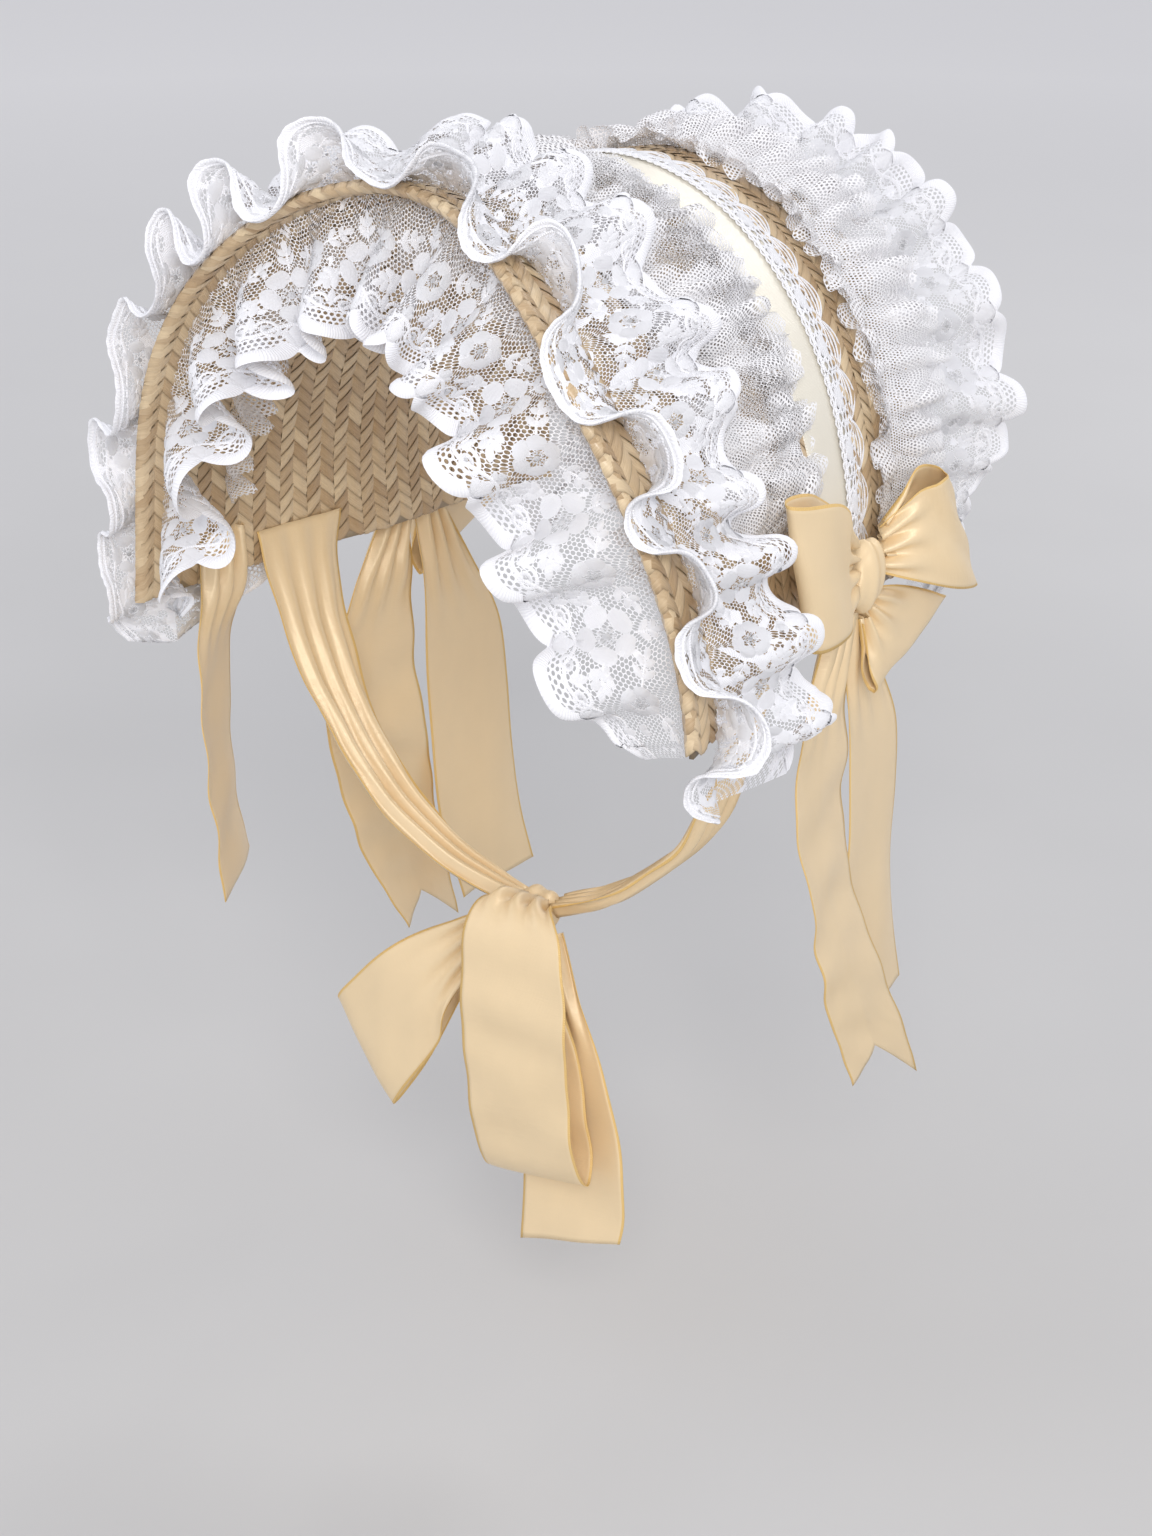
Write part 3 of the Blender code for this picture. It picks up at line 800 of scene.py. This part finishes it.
def satin_finish(name, colour, edge_colour, half_width):
    """Satin: fine weft ribs, slow changes of gloss with painted sheen in the colour, and a firm
    woven edge on both sides.
    """
    finish = Finish(name, Specular_IOR_Level=0.9, Metallic=0.14)
    u, v = finish.map()
    sheen_cloud = finish.noise(u * 0.05, v * 0.09, 0.0, 3.0)
    weft = finish.noise(u * 2.8, v * 0.12, 3.0, 1.0)
    side = abs(v) > (half_width - 1.1)
    # Painted sheen: the slow noise paints broad lighter and darker patches into the colour; the
    # weft adds fine rib tone.
    body = finish.blend(sheen_cloud * 0.7 + weft * 0.3, rgba(colour, 0.93), rgba(colour, 1.03))
    shown = finish.blend(side * 0.75, body, rgba(edge_colour))
    roughness = 0.27 + weft * 0.10 + sheen_cloud * 0.08 + side * 0.18
    relief = weft * 0.6 + u.wave(0.45) * 0.25 + side * u.wave(1.0) * 0.6
    return finish.done(shown, roughness, relief, 0.09)


def ribbon_finish():
    """The satin of all the ribbons."""
    made = bpy.data.materials.get("bonnet_ribbon")
    return made or satin_finish("bonnet_ribbon", "satin_colour", "satin_edge", FLAT_RIBBON / 2)


# The straw: half of its wall, the rows of plait from rim to back edge, and the strands in a row.
HALF_WALL = 1.0
ROWS = 17
STRANDS = 76
ROW = PLACES[-1] / ROWS


def round_the_rim(station, across, lift):
    """Points over the straw's wall. across counts from the rim: outside it, and inside below 0."""
    turn = np.clip(across / HALF_WALL, -math.pi / 2, math.pi / 2)
    rest = np.maximum(np.abs(across) - math.pi / 2 * HALF_WALL, 0.0)
    behind = HALF_WALL - (HALF_WALL + lift) * np.cos(turn) + rest
    return over_straw(station, behind, (HALF_WALL + lift) * np.sin(turn))


def plait_mesh(name):
    """Herringbone rows over both faces of the straw, and short strands over the rim itself."""
    # The strands start as unit squares two apart.
    unit = grid_mesh(name, 4, 2)
    mesh = repeated(name, unit, ((2, 0, 0), STRANDS), ((0, 2, 0), 4 * ROWS + 1))
    x, y, _ = (points_of(mesh) + 0.5).T
    # A point on a copy's far edge still belongs to that copy.
    index, line = np.floor((x + 0.25) / 2), np.floor((y + 0.25) / 2)
    a, b = np.clip(x - 2 * index, 0, 1), np.clip(y - 2 * line, 0, 1)
    over_rim = line == 4 * ROWS
    # Four lines of strands make a row: two halves of the herringbone, each on both faces.
    inside = (line % 2) * (~over_rim)
    half = np.where((line // 2) % 2 > 0, 1.0, -1.0)
    row = line // 4
    # A chance number from 0 to 1 for each strand.
    uneven = np.mod(np.sin(index * 12.9898 + line * 78.233) * 43758.5453, 1.0)
    centre = (row + 0.5) * ROW * (1 - 2 * inside)
    b_turned = np.where(half > 0, b, 1 - b)
    across = centre + half * (ROW / 2 - a * (ROW / 2 + 0.9))
    shift = np.where(row % 2 > 0, 0.5, 0.0) + (uneven - 0.5) * 0.12
    along = index + shift + a * 1.1 + (b_turned - 0.5) * 1.16
    shape = 1 - (2 * b - 1) ** 2
    lift = 0.1 + 0.55 * b_turned + 0.4 * shape + 0.35 * np.sin(math.pi * a) - 0.45 * a**4
    lift = lift * (0.85 + 0.3 * uneven) + np.where(row == 0, 0.35, 0.0)
    # Over the rim, from one face to the other.
    across = np.where(over_rim, 3.4 - 6.8 * a, across)
    along = np.where(over_rim, index + a * 0.9 + (b - 0.5) * 1.12, along)
    lift = np.where(over_rim, 0.75 + 0.4 * shape + 0.3 * b, lift)
    station = np.clip(-1 + 2.0 / STRANDS * (along - 0.3), -1.0, 1.0)
    across = np.clip(across, 1 - PLACES[-1], PLACES[-1] - 1)
    put(mesh, round_the_rim(station, across, lift))
    start = (index + STRANDS * line) * STRAND_MAP + STRAND_START
    set_map(mesh, (start + a * STRAND_LENGTH, b * STRAND_WIDTH))
    return mesh


# Ribbons, with the columns and rows of the CAD's tables: x, y and z of the middle line, the
# width, and the line across it, turned from Y towards X and raised towards Z, in degrees.
WIDTH = 3
TIE_TOP = (
    (107.9, -58, -142, 42, -11.5, 0), (105, -58, -168, 36, -9, 0), (97, -57, -198, 32, -5, 0)
)
RIBBONS = {
    "bow_loop_front": (
        (108.5, 4, -134, 18, 0, 90), (119, -16, -127, 34, 0, 94), (128, -38, -119, 54, 0, 102),
        (127.5, -57, -117, 62, 0, 108), (123.5, -63, -116, 63, 0, 109),
        (119.5, -57, -115, 60, 0, 107), (117.5, -40, -115, 50, 0, 102),
        (113, -16, -121, 30, 0, 94), (107, 1, -129, 14, 0, 90),
    ),
    "bow_loop_upper": (
        (108.2, 24.4, -134, 18, 0, 90), (118, 36, -131, 36, 0, 98), (124, 52, -133, 54, 0, 112),
        (122, 67, -136, 64, 0, 120), (118, 71, -136, 65, 0, 120), (114.5, 64, -132, 58, 0, 117),
        (112.5, 48, -126, 44, 0, 108), (111, 36, -127, 26, 0, 98), (108, 27, -130, 14, 0, 90),
    ),
    "bow_loop_lower": (
        (107, 19.2, -155.4, 14, 0, 60), (110, 27, -163, 30, 0, 48), (112, 37, -171, 46, 0, 32),
        (112, 47, -178, 58, 0, 22), (110, 50, -180, 62, 0, 20), (107.5, 45, -176, 56, 0, 22),
        (106.5, 35, -169, 42, 0, 34), (105.5, 25, -161, 24, 0, 50),
        (105, 18.2, -154.4, 12, 0, 60),
    ),
    "bow_tail_front": (
        (106, 3, -154, 16, -4, 0), (107, -6, -182, 34, -5, 0), (109, -15, -214, 48, -7, 0),
        (111, -12, -250, 50, -15, 0), (113, -2, -282, 50, -11, 0), (116, 8, -310, 50, -4, -4),
        (118, 22, -342, 50, 3, -12), (119, 34, -368, 50, 8, -18),
    ),
    "bow_tail_back": (
        (102.8, 18, -151.3, 14, 0, 0), (101.6, 29, -186, 32, -4, 0), (102, 38, -218, 46, -6, 0),
        (102, 42, -250, 50, -7, 0), (101, 45, -285, 50, -7, 0), (101, 51, -320, 50, -7, -3),
        (101, 62, -355, 50, -8, -6),
    ),
    "chin_tie_left": (
        *TIE_TOP, (84.5, -57, -225, 28, 0, 0), (64, -58, -249, 24, 0, 0),
        (40, -60, -266, 20, 0, 0), (22.2, -63, -274.5, 12, 0, 0),
    ),
    "chin_tie_right": (
        *TIE_TOP, (83.5, -57, -226, 28, 0, 0), (61, -58, -251, 24, 0, 0),
        (33, -59, -267.5, 18, 0, 0), (10, -59.5, -274.5, 13, 0, 0), (-3, -60.5, -276.5, 9, 0, 0),
    ),
    "chin_loop_long": (
        (16, -69.7, -271.6, 16, 90, 0), (18, -84, -263, 30, 90, 0), (22, -94, -272, 44, 90, 2),
        (25, -98, -300, 50, 90, 4), (25, -97, -335, 50, 90, 5), (26, -94, -366, 50, 90, 6),
        (26, -87, -385, 50, 90, 8), (24, -79, -388, 50, 90, 8), (20, -74, -374, 50, 90, 8),
        (17, -72, -345, 44, 90, 6), (15, -71, -312, 28, 90, 3), (14, -71, -292, 14, 90, 0),
    ),
    "chin_loop_short": (
        (5.6, -68.7, -279, 14, 0, 90), (-12, -76, -296, 28, 0, 90), (-34, -85, -322, 44, -90, 60),
        (-56, -86, -350, 50, -90, 57), (-64, -82, -361, 51, -90, 56),
        (-62, -77, -357, 51, -90, 56), (-46, -75, -335, 46, -90, 58),
        (-22, -70, -306, 28, -90, 74), (1, -66, -283, 12, 0, 90),
    ),
    "chin_tail_long": (
        (16, -63.4, -286.6, 14, 90, 0), (19, -66, -312, 30, 90, -6), (25, -68, -340, 46, 90, -8),
        (32, -70, -370, 50, 90, -4), (35, -72, -400, 50, 90, 4), (34, -74, -424, 50, 90, 14),
    ),
    "chin_tail_short": (
        (9.5, -60, -285.3, 14, 90, 0), (5, -58, -310, 30, 90, 4), (6, -59, -340, 46, 90, 6),
        (10, -60, -366, 50, 90, 8),
    ),
    "side_streamer": (
        (-114.2, -94.2, -136, 22, 9.7, 0), (-113.2, -95.5, -158, 28, -4, 0),
        (-117, -102, -186, 44, -26, 0), (-114, -107, -218, 50, -31, 0),
        (-112, -106, -250, 50, -33, 0), (-112, -100, -284, 50, -30, 0),
    ),
}
# Each knot's middle and half its size.
SIDE_KNOT = ((107.9, 14, -141), (6.5, 10, 14))
CHIN_KNOT = ((13, -64, -277), (10, 6.5, 9))
# The ribbon's width when it lies flat, its thickness, and the pleats across it at a knot.
FLAT_RIBBON = 50.0
RIBBON_WALL = 0.35
PLEATS = 3.4


def satin_ribbon(name, node, stations, side, seed, held, seat, knot, notch=0.0, slant=0.0):
    """A ribbon through its stations, pleated where it narrows towards a knot.

    Its end has a notch cut out, or is slanted. knot is the knot that goes with it, or None; it is
    not used.
    """
    table = np.array(stations, float)
    at = np.arange(len(table), dtype=float)
    share = np.linspace(0, 1, 400)

    def column(c, a):
        return smooth_curve(at, table[:, c], a * at[-1])

    middle = np.stack([column(c, share) for c in range(3)])
    steps = np.linalg.norm(np.diff(middle, axis=1), axis=0)
    walked = np.concatenate([[0.0], np.cumsum(steps)])
    length = walked[-1]

    def level(a, b):
        x, y, z, width, turn, rise = (column(c, a) for c in range(6))
        turn, rise = np.radians(turn), np.radians(rise)
        reach = (b - 0.5) * width
        x = x + reach * np.sin(turn) * np.cos(rise)
        y = y + reach * np.cos(turn) * np.cos(rise)
        return np.stack([x * side, y, z + reach * np.sin(rise)], axis=-1)

    def place(a, b):
        a = np.interp(a * length, walked, share)
        a = a * (1 - (notch * (1 - np.abs(2 * b - 1)) + slant * b) / length)
        width = column(WIDTH, a)
        along = np.interp(a, share, walked)
        pleat = np.cos(math.tau * (PLEATS * (b - 0.5) + 0.13 * crumple(seed, along, b * 8, 90)))
        # Pleats take up the width of the ribbon that is left over, where it is drawn together.
        spare = np.sqrt(np.maximum(FLAT_RIBBON**2 - width**2, 0.0)) / (4 * PLEATS)
        lift = setting("pleat_share") * spare * pleat * np.clip((46 - width) / 20, 0.0, 1.0)
        spread_out = np.clip(width / FLAT_RIBBON, 0, 1)
        lift = lift + 1.3 * crumple(seed + 9, along, b * width, 60) * spread_out
        # The sides of a satin ribbon curl a little.
        lift = lift + 0.7 * (2 * b - 1) ** 4 * np.sin(along / 23 + seed)
        return moved(level, a, b, lift, 0.002)

    columns = max(24, int(length / 2.6))
    piece = surface(name, columns, 20, place, lambda a, b: (a * length, (b - 0.5) * FLAT_RIBBON))
    if side < 0:
        piece.data.flip_normals()
    thicken(piece, RIBBON_WALL)
    sewn(piece, ribbon_finish(), [node])


def knot_piece(name, node, middle, half_sizes, side, axle):
    """A knot: the ribbon wound round the bow, pleated along its turns, and drawn in at both ends.

    axle is the axis, 0 for X or 1 for Y, that the ribbon is wound about.
    """
    across, up = (k for k in range(3) if k != axle)

    def place(a, b):
        turn, out = math.tau * a, 2 * b - 1
        round_off = np.clip(1 - np.abs(out) ** 2.4, 0.0, 1) ** 0.5
        ridge = 0.07 * np.cos(math.tau * (2.4 * b + 0.12 * np.sin(turn))) * round_off
        parts = np.empty((3, len(a)))
        parts[axle] = out * half_sizes[axle] + 0.6 * np.sin(turn)
        parts[across] = np.cos(turn) * (round_off + ridge) * half_sizes[across]
        parts[up] = np.sin(turn) * (round_off + ridge) * half_sizes[up]
        x, y, z = (m + p for m, p in zip(middle, parts))
        return np.stack([x * side, y, z], axis=-1)

    knot = surface(name, 40, 24, place, lambda a, b: (a * 66.0, (b - 0.5) * 24.0))
    bm = bmesh.new()
    bm.from_mesh(knot.data)
    bmesh.ops.remove_doubles(bm, verts=bm.verts, dist=1e-6)
    bmesh.ops.recalc_face_normals(bm, faces=bm.faces)
    bm.to_mesh(knot.data)
    bm.free()
    return sewn(knot, ribbon_finish(), [node])


def colour_setting(name, what, *default):
    return FloatVectorProperty(
        name=name, description=f"Colour of {what}", subtype="COLOR", size=3, default=default,
        min=0, max=1,
    )


def pitch_setting(name, what, default, most):
    return FloatProperty(
        name=f"{name}, in mm", description=f"Distance between the holes of {what}",
        default=default, min=0.5, max=most,
    )


class BonnetSettings(bpy.types.PropertyGroup):
    """Sizes and colours of the bonnet that a user may change."""

    straw_light: colour_setting("Straw, light", "the palest straw strands", 0.90, 0.73, 0.48)
    straw_dark: colour_setting("Straw, dark", "the deepest straw strands", 0.34, 0.19, 0.075)
    lace_colour: colour_setting("Lace", "the lace threads in the light", 0.96, 0.96, 0.98)
    # The shaded lace colour is painted shade in the stitches' grooves, and an uneven tone at
    # random in the net.
    lace_shade: colour_setting("Lace, shaded", "the threads between stitches", 0.85, 0.85, 0.90)
    tulle_colour: colour_setting("Tulle", "the tulle threads", 0.96, 0.95, 0.965)
    satin_colour: colour_setting("Ribbon", "the satin ribbons", 0.90, 0.70, 0.43)
    satin_edge: colour_setting("Ribbon edge", "the ribbons' woven edges", 0.82, 0.52, 0.13)
    band_colour: colour_setting("Band", "the satin band over the crown", 0.87, 0.82, 0.70)
    net_pitch: pitch_setting("Lace net", "the lace's net", 1.6, 3)
    tulle_pitch: pitch_setting("Tulle net", "the tulle", 1.7, 4)
    pleat_share: FloatProperty(
        name="Pleats", description="How much of a ribbon's spare width its pleats take up",
        default=0.9, min=0, max=1, subtype="FACTOR",
    )


class BONNET_OT_straw(bpy.types.Operator):
    """Plait the straw shell and its rim"""

    bl_idname = "bonnet.straw"
    bl_label = "Straw"

    def execute(self, context):
        def wall_place(a, b):
            return straw_middle(2 * a - 1, 1.2 + b * (PLACES[-1] - 2.4))

        ground = surface(
            "straw_ground", 90, 48, wall_place, lambda a, b: (a * 430, b * STRAND_WIDTH)
        )
        thicken(ground, 1.6)
        # The ground under the plait is painted at 0.55 of the straw colours, as painted shade seen
        # in the gaps between strands.
        sewn(ground, straw_finish("straw_ground", 0.55))
        plait = smooth_object("straw_plait", plait_mesh("straw_plait"))
        sewn(plait, straw_finish("straw_plait"), ["straw_shell"])
        return {"FINISHED"}


def lace_frill(name, node, rows, folds, reach, repeats, motif, filled, seed, **shape):
    """A lace frill in two pieces, the net and its embroidery."""
    length = repeats * REPEAT
    frill = Frill(rows, folds, reach, length, seed, **shape)
    scalloped = motif is scalloped_repeat
    width = frill.width

    def edge(along):
        return width - lobe_edge(along) if scalloped else width + 0 * along

    def place(a, b):
        return frill.place(a * length, b * edge(a * length))

    def spread(a, b):
        return a * length, (1 - b) * edge(a * length)

    def lifted(x, y, z):
        return moved(frill.place, np.clip(x, 0.4, length - 0.4), y, z, 0.3)

    net = surface(f"{name}_net", int(length / 1.5), max(10, int(width / 2.6)), place, spread)
    drawing = repeated(f"{name}_embroidery", motif(width), ((REPEAT, 0, 0), repeats))
    stitching = laid_on(f"{name}_embroidery", drawing, lifted)
    finish = lace_net_finish(f"{name}_net", scalloped, filled)
    sewn(net, finish, [node])
    sewn(stitching, stitch_finish(f"{name}_stitches"))


class BONNET_OT_lace(bpy.types.Operator):
    """Gather the lace frills on to the rim and the back edge"""

    bl_idname = "bonnet.lace"
    bl_label = "Lace"

    def execute(self, context):
        lace_frill(
            "outer_lace_front", "front_lace_outer", OUTER_FRONT_ROWS, FRONT_FOLDS, 1.1, 14,
            plain_repeat, 0.55, 3, swing=FRONT_SWING, roll=0.7, ripple=2.6,
        )
        lace_frill(
            "outer_lace_rear", "front_lace_outer", OUTER_REAR_ROWS, chance_folds(5, 20, 1.1), 1.1,
            15, scalloped_repeat, 0.45, 5, swing=OUTER_SWING, roll=0.35, ripple=3.0,
        )
        lace_frill(
            "inner_lace", "front_lace_inner", INNER_ROWS, INNER_FOLDS, 1.02, 11,
            scalloped_repeat, 0.15, 7, ends=INNER_ENDS, roll=0.6,
        )
        lace_frill(
            "back_lace_frill", "back_lace", BACK_ROWS, chance_folds(9, 19, 1.14), 1.14, 14,
            scalloped_repeat, 0.3, 9, ends=BACK_ENDS, swing=BACK_SWING, roll=0.2, ripple=4.0,
        )
        return {"FINISHED"}


def tulle_layer(name, node, rows, count, reach, length, seed, ends):
    folds = chance_folds(seed, count, reach, 0.4)
    frill = PuffedFrill(rows, folds, reach, length, seed, ends=ends)
    width = frill.width

    def place(a, b):
        ragged = 1 - 0.03 * np.sin(a * length * 0.31 + seed) - 0.02 * np.sin(a * length * 0.83)
        return frill.place(a * length, b * width * ragged)

    piece = surface(
        name, int(length / 1.6), max(8, int(width / 3)), place,
        lambda a, b: (a * length, b * width),
    )
    sewn(piece, tulle_finish(name), [node])


class BONNET_OT_tulle(bpy.types.Operator):
    """Gather the layers of tulle"""

    bl_idname = "bonnet.tulle"
    bl_label = "Tulle"

    def execute(self, context):
        for k, count in enumerate((20, 25, 17)):
            lower = [(s, b, h - 1.2 * k * (s > 0), f) for s, b, h, f in TULLE_FRONT_ROWS]
            tulle_layer(
                f"front_tulle_layer_{k + 1}", "front_tulle", lower, count, 0.8, 560.0, 11 + k,
                TULLE_FRONT_ENDS,
            )
        halves = (("fore", TULLE_FORE_ROWS, 560.0, 21), ("rear", TULLE_REAR_ROWS, 680.0, 31))
        for k, count in enumerate((24, 31)):
            for half, rows, length, seed in halves:
                tulle_layer(
                    f"back_tulle_{half}_{k + 1}", "back_tulle", rows, count, 0.96, length,
                    seed + k, TULLE_BACK_ENDS,
                )
        tulle_layer(
            "inner_tulle_layer", "inner_tulle", TULLE_INNER_ROWS, 29, 0.84, 640.0, 41, FULL
        )
        return {"FINISHED"}


# How far behind the rim the band and the trim lie, and how far round the arch they reach.
BAND_FRONT, BAND_BACK = 112.0, 142.0
TRIM_FRONT, TRIM_BACK = 133.0, 153.0
BAND_REACH = 15 / 16


class BONNET_OT_band(bpy.types.Operator):
    """Lay the satin band and the cotton trim over the crown"""

    bl_idname = "bonnet.band"
    bl_label = "Band and trim"

    def execute(self, context):
        wide = BAND_BACK - BAND_FRONT
        middle = straw_middle(np.linspace(-BAND_REACH, BAND_REACH, 400), BAND_FRONT + wide / 2)
        length = float(np.linalg.norm(np.diff(middle, axis=0), axis=1).sum())

        def band_place(a, b):
            behind = BAND_FRONT + b * wide + 0.5 * np.sin(a * length / 19)
            station = (2 * a - 1) * BAND_REACH
            puff = 0.9 * np.sin(math.pi * b) * (0.6 + 0.4 * crumple(5, a * length, b * wide, 50))
            return over_straw(station, behind, 2.0 + puff)

        band = surface(
            "band_of_satin", 220, 12, band_place, lambda a, b: (a * length, (b - 0.5) * wide)
        )
        thicken(band, RIBBON_WALL)
        finish = satin_finish("band_satin", "band_colour", "band_colour", wide / 2)
        sewn(band, finish, ["satin_band"])
        count = round(length / CLUNY_REPEAT)
        flat = repeated("trim_of_threads", cluny_repeat(), ((CLUNY_REPEAT, 0, 0), count))

        def lifted(x, y, z):
            station = (2 * x / (count * CLUNY_REPEAT) - 1) * BAND_REACH
            on_band = 1 / (1 + np.exp((y - 9.5) / 1.2))
            return over_straw(station, TRIM_FRONT + y, 1.7 + 1.7 * on_band + z)

        trim = laid_on("trim_of_threads", flat, lifted)
        thicken(trim, 0.3, -1.0)
        sewn(trim, stitch_finish("cluny_threads"), ["cluny_trim"])
        return {"FINISHED"}


class BONNET_OT_bows(bpy.types.Operator):
    """Tie the bow on each side"""

    bl_idname = "bonnet.bows"
    bl_label = "Side bows"

    def execute(self, context):
        ribbons = (
            ("front_loop", "bow_loop_front", {}),
            ("upper_loop", "bow_loop_upper", {}),
            ("lower_loop", "bow_loop_lower", {}),
            ("front_tail", "bow_tail_front", {"notch": 26.0}),
            ("back_tail", "bow_tail_back", {"slant": 8.0}),
        )
        for side, word in ((1, "left"), (-1, "right")):
            knot = knot_piece(
                f"side_knot_wound_{word}", f"side_knot_{word}", *SIDE_KNOT, side, 1
            )
            for seed, (name, node, cut) in enumerate(ribbons, 1):
                satin_ribbon(
                    f"{name}_{word}", f"{node}_{word}", RIBBONS[node], side, seed, "folded",
                    knot.name, knot if seed == 1 else None, **cut,
                )
        return {"FINISHED"}


class BONNET_OT_ties(bpy.types.Operator):
    """Tie the chin ribbons and hang the streamer"""

    bl_idname = "bonnet.ties"
    bl_label = "Chin ties"

    def execute(self, context):
        knot = knot_piece("chin_knot_wound", "chin_knot", *CHIN_KNOT, 1, 0)
        ribbons = (
            ("long_loop", "chin_loop_long", 1, "folded", knot.name, {}),
            ("short_loop", "chin_loop_short", 1, "folded", knot.name, {}),
            ("long_tail", "chin_tail_long", 1, "hung", knot.name, {"slant": 6.0}),
            ("short_tail", "chin_tail_short", 1, "hung", knot.name, {"slant": 6.0}),
            ("left_tie", "chin_tie_left", 1, "stretched", knot.name, {}),
            ("right_tie", "chin_tie_right", -1, "stretched", knot.name, {}),
            ("streamer", "side_streamer", 1, "hung", "straw_plait", {}),
        )
        for seed, (name, node, side, held, seat, cut) in enumerate(ribbons, 11):
            satin_ribbon(
                name, node, RIBBONS[node], side, seed, held, seat,
                knot if name == "long_loop" else None, **cut,
            )
        return {"FINISHED"}


def aimed(name, data, place, direction):
    """A lamp or camera that looks in a direction."""
    obj = linked(name, data)
    obj.location = place
    obj.rotation_euler = Vector(direction).to_track_quat("-Z", "Y").to_euler()
    return obj


# The camera's focal length and picture height in pixels, and its place in metres.
FOCAL_PIXELS, PICTURE_HEIGHT = 2500, 1536
CAMERA_PLACE = (0.5229, -0.7667, 0.192)
CAMERA_AZIMUTH, CAMERA_PITCH = math.radians(35), math.radians(25.19)
# What the lamps are aimed at. Then each lamp's name, place, size, watts and colour.
TARGET = Vector((0.0, 0.0, -0.16))
LAMPS = (
    ("key", (1.15, -1.45, 0.85), 0.9, 22, (1.0, 0.985, 0.96)),
    ("fill", (-1.6, -0.9, 0.8), 1.6, 6, (0.97, 0.98, 1.0)),
    ("rim", (0.2, 1.5, 1.2), 1.0, 9, (1.0, 1.0, 1.0)),
)
FLOOR_SIZE = 24000
FLOOR_HEIGHT = -505.0


class BONNET_OT_stage(bpy.types.Operator):
    """Set up the floor, the light and the camera"""

    bl_idname = "bonnet.stage"
    bl_label = "Stage"

    def execute(self, context):
        scene = context.scene
        camera = bpy.data.cameras.new("camera")
        camera.sensor_fit = "VERTICAL"
        camera.sensor_height = 36
        camera.lens = FOCAL_PIXELS / PICTURE_HEIGHT * 36
        camera.clip_end = 20
        scene.camera = aimed("camera", camera, CAMERA_PLACE, (
            -math.sin(CAMERA_AZIMUTH) * math.cos(CAMERA_PITCH),
            math.cos(CAMERA_AZIMUTH) * math.cos(CAMERA_PITCH),
            -math.sin(CAMERA_PITCH),
        ))

        def floor_map(a, b):
            return (a - 0.5) * FLOOR_SIZE, (b - 0.5) * FLOOR_SIZE

        def floor_place(a, b):
            return np.stack([*floor_map(a, b), np.full_like(a, FLOOR_HEIGHT)], axis=-1)

        floor = surface("floor", 2, 2, floor_place, floor_map)
        paper = Finish("floor_paper", Specular_IOR_Level=0.2)
        u, v = paper.map()
        grain = paper.noise(u * 0.004, v * 0.004)
        # Painted light: the paper is painted paler where it is farther away from the lamps, to
        # make up for their light falling off.
        away = (((u * u + v * v) ** 0.5 - 700) / 2500).most(0.0).least(1.0)
        colour = paper.blend(grain, (0.53, 0.525, 0.52, 1), (0.58, 0.575, 0.57, 1))
        colour = paper.blend(away, colour, (0.88, 0.87, 0.86, 1))
        feed(paper.tree, paper.inputs, {"Base Color": colour, "Roughness": 0.8 + grain * 0.1})
        floor.data.materials.append(paper.material)
        for name, place, size, watts, tint in LAMPS:
            light = bpy.data.lights.new(name, "AREA")
            light.shape = "DISK"
            light.size = size
            light.energy = watts
            light.color = tint
            aimed(name, light, place, TARGET - Vector(place))
        scene.world = bpy.data.worlds.new("studio")
        scene.world.use_nodes = True
        background = scene.world.node_tree.nodes["Background"]
        background.inputs["Color"].default_value = (0.93, 0.94, 1.0, 1)
        background.inputs["Strength"].default_value = 0.74
        scene.view_settings.view_transform = "Standard"
        return {"FINISHED"}


OPERATORS = (
    BONNET_OT_stage,
    BONNET_OT_straw,
    BONNET_OT_lace,
    BONNET_OT_tulle,
    BONNET_OT_band,
    BONNET_OT_bows,
    BONNET_OT_ties,
)


class BONNET_PT_panel(bpy.types.Panel):
    """The bonnet's pieces and settings"""

    bl_idname = "BONNET_PT_panel"
    bl_label = "Straw half bonnet"
    bl_space_type = "VIEW_3D"
    bl_region_type = "UI"
    bl_category = "Bonnet"

    def draw(self, context):
        for kind in OPERATORS:
            self.layout.operator(kind.bl_idname)
        for name in BonnetSettings.__annotations__:
            self.layout.prop(context.scene.bonnet, name)


CLASSES = (BonnetSettings, *OPERATORS, BONNET_PT_panel)


def register():
    for kind in CLASSES:
        bpy.utils.register_class(kind)
    bpy.types.Scene.bonnet = PointerProperty(type=BonnetSettings)


def unregister():
    del bpy.types.Scene.bonnet
    for kind in reversed(CLASSES):
        bpy.utils.unregister_class(kind)


def main():
    register()
    bpy.ops.bonnet.stage()
    bpy.ops.bonnet.straw()
    bpy.ops.bonnet.lace()
    bpy.ops.bonnet.tulle()
    bpy.ops.bonnet.band()
    bpy.ops.bonnet.bows()
    bpy.ops.bonnet.ties()


if __name__ == "__main__":
    main()
